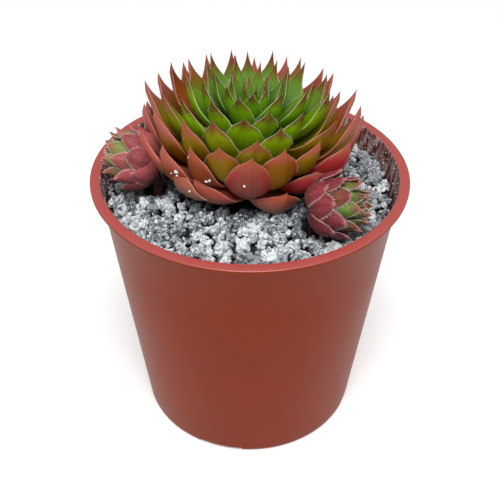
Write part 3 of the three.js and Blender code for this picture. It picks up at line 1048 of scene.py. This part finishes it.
@dataclass
class MainRosette:
    """The globe-shaped head, leaning a little, on its stem."""

    centre: Pair = (-0.5, 4.5)
    lean: Pair = (0.04, 0.01)
    lean_foot: float = 76.0
    stem_radius: float = 3.6
    stem_bottom: float = 66.3
    stem_top: float = 77.0

    def head(self, skin: Skin) -> Head:
        """The head in its place."""
        foot = Vector((0, 0, self.lean_foot))
        turn = Euler((-self.lean[1], self.lean[0], 0)).to_matrix().to_4x4()
        place = Vector((*self.centre, self.lean_foot))
        placing = Matrix.Translation(place) @ turn @ Matrix.Translation(-foot)
        return Head(ROSETTE, placing, skin)

    def stem_mesh(self) -> Mesh:
        """The stem below the leaves, down into the soil."""
        radius, bottom, top = self.stem_radius, self.stem_bottom, self.stem_top
        side = [(radius * 0.8, bottom), (radius, bottom + 0.8), (radius, top)]
        mesh = spun([(0, bottom), *side, (0, top)], 24, "stem")
        points = points_of(mesh)
        points[:, 0] += self.centre[0] * MM
        points[:, 1] += self.centre[1] * MM
        move_points(mesh, points)
        return barked(mesh)

    def build(self, skin: Skin, hair: Material) -> Head:
        """Builds the leaves with their stem, and their hairs."""
        head = self.head(skin)
        parts = [head.leaf_mesh("leaves"), head.core_mesh(), self.stem_mesh()]
        add_piece(joined(parts, "rosette_leaves"), [skin.material()], "rosette")
        add_piece(head.hair_mesh("rosette_hairs"), [hair])
        return head


@dataclass
class Offset:
    """A closed young head on the rooted end of its runner."""

    name: str
    root: Trio
    axis: Trio
    first_angle: float
    runner_foot: Pair
    seed: int
    runner_radius: float = 1.3
    runner_sunk: float = 4.0
    bend_height: float = 78.6
    ground_height: float = 75.6
    runner_tip: float = 70.4

    def head(self, skin: Skin) -> Head:
        """The head, with its axis turned outward."""
        growth = replace(BUD, first_angle=self.first_angle, seed=self.seed)
        turn = Vector((0, 0, 1)).rotation_difference(Vector(self.axis).normalized())
        placing = Matrix.Translation(Vector(self.root)) @ turn.to_matrix().to_4x4()
        fine = {"hair_spacing": 0.3, "hair_length": 0.65, "hair_radius": 0.055, "hair_bias": 0.6}
        return Head(growth, placing, skin, sections=16, rings=20, **fine)

    def runner_mesh(self) -> Mesh:
        """The runner's end: a round stem from inside the head, bent down into the grit."""
        axis = Vector(self.axis).normalized()
        start = Vector(self.root) + axis * self.runner_sunk
        foot_x, foot_y = self.runner_foot
        heights = (self.bend_height, self.ground_height, self.runner_tip)
        path = [start] + [Vector((foot_x, foot_y, height)) for height in heights]
        curve = bpy.data.curves.new("runner", "CURVE")
        curve.dimensions = "3D"
        curve.bevel_depth = self.runner_radius * MM
        curve.bevel_resolution = 3
        curve.use_fill_caps = True
        spline = curve.splines.new("NURBS")
        spline.points.add(len(path) - 1)
        for point, place in zip(spline.points, path):
            point.co = (*(place * MM), 1.0)
        spline.use_endpoint_u = True
        spline.order_u = 3
        return barked(evaluated_mesh(add_object("runner", curve)))

    def build(self, skin: Skin, finish: Material, hair: Material) -> Head:
        """Builds the leaves with their runner, and their hairs."""
        head = self.head(skin)
        parts = [head.leaf_mesh("leaves"), head.core_mesh(), self.runner_mesh()]
        add_piece(joined(parts, f"{self.name}_leaves"), [finish], self.name)
        add_piece(head.hair_mesh(f"{self.name}_hairs"), [hair])
        return head


@dataclass
class Pot:
    """The thin round nursery pot: a rolled flat rim, a gentle taper and a notched foot ring."""

    height: float = 78.7
    rim_radius: float = 42.5
    throat_radius: float = 39.7
    shoulder_radius: float = 40.2
    foot_radius: float = 32.0
    wall: float = 0.8
    flange_thickness: float = 0.9
    edge_rounding: float = 0.25
    flange_corner: tuple[Pair, Pair] = ((0.15, 0.12), (0.6, 0.0))
    floor_corner: float = 0.6
    # Rim faces that point up more than this take the lighter rim finish, a painted highlight.
    highlight_facing: float = 0.3
    # Above this share of the height, the inside wall takes a finish with real dust on a darker
    # colour that is painted shade.
    dust_and_shade_from: float = 0.7
    floor_underside: float = 1.4
    floor_top: float = 2.4
    foot_ring_inner: float = 30.2
    foot_ring_outer: float = 31.5
    foot_slope: float = 0.4
    foot_edge_height: float = 0.7
    above_notches: float = 1.7
    steps: int = 160
    notch_count: int = 4
    notch_size: Trio = (8.0, 13.0, 2.4)
    notch_angle: float = -105.0
    drain_centre: float = 4.0
    drain_outer: float = 3.0
    drain_count: int = 4
    drain_circle: float = 19.0
    drain_angle: float = 30.0

    def outer(self, height: float) -> float:
        """The wall's outer radius at a height."""
        share = height / (self.height - self.flange_thickness)
        return self.foot_radius + (self.shoulder_radius - self.foot_radius) * share

    def inner(self, height: float) -> float:
        """The wall's inner radius at a height."""
        return self.outer(height) - self.wall

    def rounded(self, corner: tuple, turn_from: float, radius: float) -> list[tuple]:
        """A quarter round about a centre, from one angle in degrees to 90 more."""
        steps = [math.radians(turn_from + 90 * step / 4) for step in range(5)]
        return [(corner[0] + radius * math.cos(a), corner[1] + radius * math.sin(a)) for a in steps]

    def profile(self) -> list[Pair]:
        """The pot's section, from under the floor round the rim to the floor's top."""
        under = self.height - self.flange_thickness
        soft = self.edge_rounding
        rim = self.rim_radius - soft
        lip = self.throat_radius + soft
        return [
            (0, self.floor_underside),
            (self.foot_ring_inner - self.foot_slope, self.floor_underside),
            (self.foot_ring_inner, 0),
            (self.foot_ring_outer, 0),
            (self.outer(self.foot_edge_height), self.foot_edge_height),
            *[(self.outer(row), row) for row in (self.above_notches, 20, 40, 60, under - 0.5)],
            *[(self.outer(under) + out, under - down) for out, down in self.flange_corner],
            *self.rounded((rim, under + soft), -90, soft),
            *self.rounded((rim, self.height - soft), 0, soft),
            *self.rounded((lip, self.height - soft), 90, soft),
            (self.inner(under), under - self.flange_thickness),
            *[(self.inner(row), row) for row in (60, 30, self.floor_top + self.floor_corner)],
            (self.inner(self.floor_top) - self.floor_corner, self.floor_top),
            (0, self.floor_top),
        ]

    def cutter(self) -> bpy.types.Object:
        """The foot's notches and the drain holes, as one body to cut with."""
        bm = bmesh.new()
        long, wide, high = self.notch_size
        middle = (self.foot_ring_inner + self.foot_radius) / 2
        for count in range(self.notch_count):
            angle = math.radians(self.notch_angle + 360 / self.notch_count * count)
            place = Matrix.Rotation(angle, 4, "Z") @ Matrix.Translation((middle * MM, 0, 0))
            size = Matrix.Diagonal((long * MM, wide * MM, high * MM, 1))
            bmesh.ops.create_cube(bm, size=1.0, matrix=place @ size)
        holes = [(0.0, 0.0, self.drain_centre)]
        for count in range(self.drain_count):
            angle = math.radians(self.drain_angle + 360 / self.drain_count * count)
            x, y = self.drain_circle * math.cos(angle), self.drain_circle * math.sin(angle)
            holes.append((x, y, self.drain_outer))
        for x, y, radius in holes:
            size = {"segments": 32, "radius1": radius * MM, "radius2": radius * MM, "depth": 6 * MM}
            place = Matrix.Translation((x * MM, y * MM, self.floor_top * MM))
            bmesh.ops.create_cone(bm, cap_ends=True, matrix=place, **size)
        return add_object("pot_cutter", mesh_of(bm, "pot_cutter"))

    def build(self, finishes: list[Material]) -> None:
        """Builds the pot.

        Args:
            finishes: The wall's finish, the one inside above the grit with dust and painted shade,
                and the rim's top with a painted highlight.
        """
        mesh = spun(self.profile(), self.steps, "pot_shell")
        body = add_object("pot_shell", mesh)
        tool = self.cutter()
        cut = body.modifiers.new("holes", "BOOLEAN")
        cut.operation, cut.object, cut.solver = "DIFFERENCE", tool, "EXACT"
        shell = evaluated_mesh(body)
        bpy.data.objects.remove(tool)
        bpy.data.meshes.remove(mesh)
        shell.materials.clear()
        shell.name = "pot_shell"
        rim_from = (self.height - self.flange_thickness - 0.05) * MM
        # High inward faces take the inside finish: real dust on a darker colour that is painted
        # shade. Upward rim faces take a lighter finish that is a painted highlight.
        for face in shell.polygons:
            inward = Vector((face.center.x, face.center.y, 0)).normalized().dot(face.normal) < -0.5
            if inward and face.center.z > self.height * self.dust_and_shade_from * MM:
                face.material_index = 1
            elif face.center.z > rim_from and face.normal.z > self.highlight_facing:
                face.material_index = 2
        shell.shade_smooth()
        shell.set_sharp_from_angle(angle=math.radians(40))
        add_piece(shell, finishes, "pot")


@dataclass
class Soil:
    """The potting mix that fills the pot below the grit."""

    pot: Pot
    top: float = 68.0
    gap: float = 0.3
    rows: int = 24
    steps: int = 72
    crumble: float = 0.25

    def build(self, finish: Material) -> None:
        """Builds the soil with a crumbly skin that stays inside its own solid."""
        bottom = self.pot.floor_top + self.gap
        high = self.top - bottom
        rows = [bottom + high * step / self.rows for step in range(self.rows + 1)]
        profile = [(0, bottom)]
        profile += [(self.pot.inner(bottom) * step / 20, bottom) for step in range(1, 19)]
        profile += [(self.pot.inner(row) - self.gap, row) for row in rows]
        profile += [(self.pot.inner(self.top) * step / 12, self.top) for step in range(11, 0, -1)]
        profile += [(0, self.top)]
        mesh = spun(profile, self.steps, "potting_mix")
        points = points_of(mesh)
        draw = np.random.default_rng(4)
        points -= unit(points) * draw.uniform(0, self.crumble * MM, (len(points), 1))
        points[:, 2] = np.maximum(points[:, 2], bottom * MM)
        move_points(mesh, points)
        mesh.shade_smooth()
        add_piece(mesh, [finish], "soil")


class Grain(Enum):
    """The kinds of grain.

    Each has its ball's subdivisions, its smallest and largest radius, how close two may lie as a
    share of their radii together, and how high it sits.
    """

    COARSE = (4, 1.5, 2.8, 0.84, 0.45)
    MEDIUM = (3, 0.8, 1.45, 0.74, 0.25)
    CRUMB = (2, 0.25, 0.7, 0.0, 0.25)


@dataclass
class Grit:
    """The pumice top dressing: a heap of angular, frothy grains.

    The hollows and the bare ground under the plants are x, y and radius, and a hollow's depth.
    A grain on a leaf is the leaf's count, its place along and across it, and its own radius.
    """

    pot: Pot
    gap: float = 0.3
    bottom: float = 68.3
    centre_level: float = 74.6
    edge_level: float = 73.2
    front_rise: float = 1.2
    oval_rise: float = 0.8
    flattened: float = 0.45
    hollow_full: float = 0.6
    hollows: tuple = ((-0.5, 4.5, 27, 1.9), (-29.5, -2.0, 9.5, 1.5), (21.0, -21.5, 9.5, 1.6))
    bare: tuple = ((-0.5, 4.5, 17.8), (-25.5, -1.5, 4.0), (17.0, -19.2, 4.2))
    # Painted shade: how far grains near the plants are darkened, and how far beyond the bare ground
    # that darkening reaches.
    bare_shade: float = 1.4
    shade_reach: float = 4.5
    seed: int = 21
    tries: tuple[int, int, int] = (9000, 3500, 900)
    off_wall: float = 1.02
    crumb_up: float = 0.3
    uneven: Pair = (-0.7, 0.5)
    sunk: float = 0.6
    ball_share: float = 0.86
    facets: int = 9
    facet_depth: Pair = (0.62, 0.95)
    froth: tuple = ((16, 0.26), (70, 0.15))
    lump_width: float = 5.0
    roughened: float = 0.03
    squashed: Pair = (0.78, 1.15)
    glassy_share: float = 0.14
    glassy: Pair = (0.5, 0.9)
    # Painted light: grains that no plant overhangs, such as the crumbs on the leaves, have their
    # tone raised by minus this value.
    painted_light_lift: float = -2.0
    # Painted shade: the bed's tone is pushed dark everywhere for the gaps between grains, and
    # darker where the plants press the grit.
    bed_painted_shade_tone: float = -0.9
    bed_shade: float = 2.5
    bed_down: float = 1.0
    bed_rings: int = 56
    bed_steps: int = 150
    bed_uneven: Pair = (-1.1, 0.2)
    dust_count: int = 260
    dust_radius: Pair = (0.09, 0.26)
    dust_out: float = 38.0
    dust_above: float = 0.8
    dust_below: float = 1.2
    dust_low: float = 1.5
    on_leaves: tuple = (
        (66, 0.78, 0.71, 0.55), (66, 0.74, 0.67, 0.36), (66, 0.76, 0.43, 0.24),
        (79, 0.76, 0.75, 0.28), (58, 0.68, 0.65, 0.44), (58, 0.69, 0.79, 0.4),
        (63, 0.75, -0.21, 0.32), (58, 0.92, 0.03, 0.3),
    )

    def pressed(self, x: Array, y: Array) -> tuple[Array, Array]:
        """How the plants press the grit: the share of the full effect, and millimetres down."""
        share, depth = np.zeros_like(x), np.zeros_like(x)
        for centre_x, centre_y, radius, deep in self.hollows:
            away = np.hypot(x - centre_x, y - centre_y)
            here = 1 - smoothstep(away, radius * self.hollow_full, radius)
            stronger = here * deep > depth
            share = np.where(stronger, here, share)
            depth = np.where(stronger, here * deep, depth)
        return share, depth

    def level(self, x: Array, y: Array) -> Array:
        """The grit's height without its grains."""
        out = np.clip(np.hypot(x, y) / self.pot.inner(self.centre_level), 0, 1)
        turn = np.arctan2(y, x) + math.pi / 2
        edge = self.edge_level + self.front_rise * np.cos(turn)
        edge = edge + self.oval_rise * np.cos(2 * turn)
        return self.centre_level + (edge - self.centre_level) * out**2 - self.pressed(x, y)[1]

    def shapes(self, count: int, subdivisions: int, draw: np.random.Generator) -> tuple:
        """Shapes of broken, frothy grains of unit size.

        Args:
            count: How many different grains.
            subdivisions: How fine the ball is that each is cut from.
            draw: The source of chance.

        Returns:
            The template mesh, and the grains' points as an array of grain, point and axis.
        """
        bm = bmesh.new()
        bmesh.ops.create_icosphere(bm, subdivisions=subdivisions, radius=1.0)
        template = mesh_of(bm, "grain_template")
        ball = unit(points_of(template))
        grains = np.zeros((count, len(ball), 3))
        for at in range(count):
            cuts = unit(draw.normal(size=(self.facets, 3)))
            depth = draw.uniform(*self.facet_depth, self.facets)
            facing = np.maximum(ball @ cuts.T, 1e-3)
            reach = np.minimum((depth / facing).min(axis=1), 1.0)
            for lumps, high in self.froth:
                heads = unit(draw.normal(size=(lumps, 3)))
                near = np.maximum(2 - 2 * ball @ heads.T, 0).min(axis=1)
                reach *= 1 + high * (0.5 - near * lumps / self.lump_width)
            reach *= 1 + draw.uniform(-self.roughened, self.roughened, len(ball))
            grains[at] = ball * reach[:, None] * draw.uniform(*self.squashed, 3)
        return template, grains

    def scatter(self, kind: Grain, tries: int, taken: list, draw: np.random.Generator) -> list:
        """Finds places for grains of one kind among those already placed."""
        _, small, large, loose, raised = kind.value
        reach = self.pot.inner(self.centre_level) - self.gap
        placed = []
        known = np.array([row[:4] for row in taken]) if taken else np.zeros((0, 4))
        for _ in range(tries):
            radius = draw.uniform(small, large)
            turn = draw.uniform(0, FULL_TURN)
            out = (reach - radius * self.off_wall) * math.sqrt(draw.uniform(0, 1))
            x, y = out * math.cos(turn), out * math.sin(turn)
            if any(math.hypot(x - at_x, y - at_y) < clear for at_x, at_y, clear in self.bare):
                continue
            away = np.hypot(known[:, 0] - x, known[:, 1] - y)
            if len(known) and np.any(away < loose * (known[:, 3] + radius)):
                continue
            spot = np.array([x]), np.array([y])
            level = float(self.level(*spot)[0])
            share = float(self.pressed(*spot)[0][0])
            lift = draw.uniform(*self.uneven) * (1 - self.flattened * share) - self.sunk * share
            height = level + lift + raised
            if kind is Grain.CRUMB:
                over = known[:, 3] ** 2 - away**2
                tops = known[over > 0, 2] + np.sqrt(over[over > 0]) * self.ball_share
                height = max(level, tops.max() if len(tops) else level) + radius * self.crumb_up
            row = (x, y, height, radius)
            placed.append(row)
            known = np.vstack([known, row])
        return placed

    def painted_shading(self, x: float, y: float) -> float:
        """Painted shade: how much darker a grain's tone is made where the plants overhang it."""
        darkest = 0.0
        for at_x, at_y, clear in self.bare:
            away = math.hypot(x - at_x, y - at_y)
            shade = 1 - float(smoothstep(away, 0.9 * clear, clear + self.shade_reach))
            darkest = max(darkest, shade)
        return self.bare_shade * darkest

    def add_grains(
        self,
        finish: Material,
        kind: Grain,
        places: list,
        name: str,
        seed: int,
        overhung: bool = True,
    ) -> None:
        """Adds grains of one kind at their places as a piece.

        Args:
            finish: The grains' material.
            kind: The kind of grain.
            places: Each grain's x, y, z and radius.
            name: The piece's name.
            seed: The seed of its chances.
            overhung: Whether the grains get painted shade where the plants overhang them; if not,
                they are made lighter, as painted light.
        """
        draw = np.random.default_rng(seed)
        template, shapes = self.shapes(len(places), kind.value[0], draw)
        points, rows = [], []
        for shape, (x, y, z, radius) in zip(shapes, places):
            turn = np.array(Euler(draw.uniform(0, FULL_TURN, 3)).to_matrix())
            points.append((shape * radius) @ turn.T + np.array([x, y, z]))
            clear = float(draw.random() < self.glassy_share)
            # Painted light and shade: tone is darkened under the plants, or raised for grains out
            # in the light.
            tone = draw.uniform(-1, 1) - (self.painted_shading(x, y) if overhung else self.painted_light_lift)
            row = np.array([tone, clear * draw.uniform(*self.glassy), 0])
            rows.append(np.tile(row, (len(shape), 1)))
        mesh = repeated(template, len(places), name)
        move_points(mesh, np.concatenate(points) * MM)
        write_attribute(mesh, "grain", np.concatenate(rows))
        bpy.data.meshes.remove(template)
        add_piece(mesh, [finish])

    def bed_mesh(self) -> Mesh:
        """Builds the bed of small grit that the grains lie in, its tone darkened as painted shade
        for the gaps between grains, and darker still under the plants.
        """
        reach = self.pot.inner(self.bottom) - self.gap
        rings = range(self.bed_rings, 0, -1)
        top = [(reach * ring / self.bed_rings, self.centre_level) for ring in rings]
        profile = [(0, self.bottom), (reach, self.bottom), *top, (0, self.centre_level)]
        mesh = spun(profile, self.bed_steps, "grit_bed")
        points = points_of(mesh) / MM
        upper = points[:, 2] > self.bottom + 1
        draw = np.random.default_rng(self.seed)
        rough = draw.uniform(*self.bed_uneven, len(points))
        level = self.level(points[:, 0], points[:, 1]) - self.bed_down + rough
        points[:, 2] = np.where(upper, level, points[:, 2])
        move_points(mesh, points * MM)
        share = self.pressed(points[:, 0], points[:, 1])[0]
        # Painted shade on the bed: dark all over, and darker still under the plants.
        tone = np.zeros((len(points), 3))
        tone[:, 0] = self.bed_painted_shade_tone - self.bed_shade * smoothstep(share, 0.2, 0.8)
        write_attribute(mesh, "grain", tone)
        return mesh

    def build(self, pumice: Material, painted_shade_pumice: Material) -> None:
        """Builds the bed, the grains and the dust on the pot's wall."""
        draw = np.random.default_rng(self.seed)
        coarse = self.scatter(Grain.COARSE, self.tries[0], [], draw)
        medium = self.scatter(Grain.MEDIUM, self.tries[1], coarse, draw)
        crumbs = self.scatter(Grain.CRUMB, self.tries[2], coarse + medium, draw)
        LOG.info("grains: %d coarse, %d medium, %d crumbs", len(coarse), len(medium), len(crumbs))
        add_piece(self.bed_mesh(), [painted_shade_pumice], "grit")
        third = (len(coarse) + 2) // 3
        for number in range(3):
            part = coarse[number * third : (number + 1) * third]
            name = f"grit_coarse_{number + 1}"
            self.add_grains(pumice, Grain.COARSE, part, name, 31 + number)
        self.add_grains(pumice, Grain.MEDIUM, medium, "grit_medium", 41)
        self.add_grains(pumice, Grain.CRUMB, crumbs, "grit_crumbs", 42)
        self.wall_dust(pumice)

    def caught(self, head: Head, pumice: Material) -> None:
        """Builds the crumbs of grit that are caught on the leaves of a head."""
        places = []
        for count, along, across, radius in self.on_leaves:
            x, y, z = head.spot(count, along, across) / MM
            places.append((x, y, z, radius))
        self.add_grains(pumice, Grain.CRUMB, places, "crumbs_on_leaves", 61, overhung=False)

    def wall_dust(self, pumice: Material) -> None:
        """Builds the specks of grit that cling to the pot's inside wall above the grit."""
        draw = np.random.default_rng(51)
        places = []
        while len(places) < self.dust_count:
            turn = draw.uniform(0, FULL_TURN)
            x, y = math.cos(turn), math.sin(turn)
            near = np.array([x]) * self.dust_out, np.array([y]) * self.dust_out
            low = float(self.level(*near)[0]) + self.dust_above
            high = self.pot.height - self.dust_below
            height = low + (high - low) * draw.uniform(0, 1) ** self.dust_low
            radius = draw.uniform(*self.dust_radius)
            out = self.pot.inner(height) - radius * 0.3
            places.append((x * out, y * out, height, radius))
        self.add_grains(pumice, Grain.CRUMB, places, "wall_dust", 52)


@dataclass
class Camera:
    """The photograph's viewpoint: from the front, a little above, with a long lens."""

    distance: float = 221.61
    elevation: float = 33.261
    pitch: float = 38.883
    yaw: float = 0.037
    roll: float = 0.344
    focal_pixels: float = 823.3
    frame_pixels: int = 500
    sensor: float = 36.0
    aim_height: float = 78.7

    def build(self) -> None:
        """Creates the camera and makes it the scene's."""
        high, down = math.radians(self.elevation), math.radians(self.pitch)
        aside, tilt = math.radians(self.yaw), math.radians(self.roll)
        place = Vector((0, -math.cos(high), math.sin(high))) * self.distance
        place.z += self.aim_height
        level = math.cos(down)
        ahead = Vector((math.sin(aside) * level, math.cos(aside) * level, -math.sin(down)))
        right = Vector((math.cos(aside), -math.sin(aside), 0))
        up = right.cross(ahead)
        side = right * math.cos(tilt) + up * math.sin(tilt)
        top = up * math.cos(tilt) - right * math.sin(tilt)
        turn = Matrix((side, top, -ahead)).transposed().to_4x4()
        data = bpy.data.cameras.new("camera")
        data.sensor_width = self.sensor
        data.lens = self.focal_pixels / self.frame_pixels * self.sensor
        data.clip_start, data.clip_end = 0.01, 20
        camera = add_object("camera", data)
        camera.matrix_world = Matrix.Translation(place * MM) @ turn
        bpy.context.scene.camera = camera


@dataclass(frozen=True)
class Lamp:
    """One soft light: a square panel that faces the plant."""

    name: str
    place: Trio
    size: float
    power: float
    target: Trio = (0.0, 0.0, 0.07)

    def build(self) -> None:
        """Creates the light."""
        data = bpy.data.lights.new(self.name, "AREA")
        data.size = self.size
        data.energy = self.power
        lamp = add_object(self.name, data)
        lamp.location = self.place
        aim = Vector(self.target) - Vector(self.place)
        lamp.rotation_euler = aim.to_track_quat("-Z", "Y").to_euler()


@dataclass
class Studio:
    """A plain pale floor under soft light from above, the front and both sides."""

    floor_colour: str = "#f7f7f6"
    floor_second: str = "#f4f4f4"
    cloud_scale: float = 0.5
    sky: float = 0.42
    glow: float = 0.22
    floor_size: float = 3.0
    lamps: tuple[Lamp, ...] = (
        Lamp("top_light", (0.0, -0.32, 0.76), 0.35, 5.4),
        Lamp("left_light", (-0.7, -0.1, 0.35), 0.5, 0.5),
        Lamp("right_light", (0.7, -0.1, 0.35), 0.5, 0.5),
    )

    def build(self) -> None:
        """Creates the floor, the sky and the lights."""
        bm = bmesh.new()
        bmesh.ops.create_grid(bm, x_segments=1, y_segments=1, size=self.floor_size)
        floor = add_object("floor", mesh_of(bm, "floor"))
        paper = Surface(
            "white_paper_floor",
            {"Roughness": 0.9, "Emission Color": (1, 1, 1, 1), "Emission Strength": self.glow},
        )
        corner = {"Location": (self.floor_size, self.floor_size, self.floor_size)}
        from_corner = paper.add("Mapping", corner, {"Vector": paper.place}).outputs[0]
        cloud = paper.noise(self.cloud_scale, at=from_corner)
        paper.feed("Base Color", paper.mixed(cloud, self.floor_second, self.floor_colour))
        floor.data.materials.append(paper.material)
        world = bpy.data.worlds.new("soft_sky")
        world.use_nodes = True
        world.node_tree.nodes["Background"].inputs[0].default_value = (1, 1, 1, 1)
        world.node_tree.nodes["Background"].inputs[1].default_value = self.sky
        bpy.context.scene.world = world
        for lamp in self.lamps:
            lamp.build()
        bpy.context.scene.view_settings.view_transform = "Standard"


def main() -> None:
    """Builds every piece of the potted houseleek, and the studio round it."""
    logging.basicConfig(level=logging.INFO, format="%(name)s: %(message)s")
    Camera().build()
    Studio().build()
    hair, young, pumice = LeafHair().material(), YoungSkin().material(), Pumice().material()
    # The bed's pumice is a darker copy of the grit's material: painted shade for the gaps between
    # grains.
    painted_shade_pumice = Pumice(name="pumice_painted_shade", light="#77797b", mid="#3c3d3e", dark="#121110")
    # The inside wall above the grit has real grit dust on a darker plastic colour, which is painted
    # shade.
    dusty_painted_shade = NurseryPlastic(
        name="dusty_polypropylene_painted_shade",
        colour="#70302a",
        second="#612420",
        dust_range=(0.45, 0.66, 0.0, 0.85),
        upright=0.35,
    )
    # The rim's top is the same plastic, but lighter and pinker: a painted highlight.
    rim_painted_highlight = NurseryPlastic(
        name="rim_polypropylene_painted_highlight", colour="#ac453e", second="#a23d36", specular=1.0
    )
    pot = Pot()
    pot.build([NurseryPlastic().material(), dusty_painted_shade.material(), rim_painted_highlight.material()])
    Soil(pot).build(PottingMix().material())
    head = MainRosette().build(LeafSkin(), hair)
    Offset(
        "offset_left", (-23.4, -2.4, 81.4), (-0.95, 0.04, 0.28), 20, (-24.8, -2.2), seed=3
    ).build(YoungSkin(), young, hair)
    darker = YoungSkin(rose="#7a2a32", deep="#561420", earthy="#5e3a26", heart="#567428")
    Offset(
        "offset_right", (14.8, -19.0, 80.4), (0.88, -0.36, 0.26), 70, (16.4, -19.6), seed=8
    ).build(darker, young, hair)
    grit = Grit(pot)
    grit.build(pumice, painted_shade_pumice.material())
    grit.caught(head, pumice)


if __name__ == "__main__":
    main()
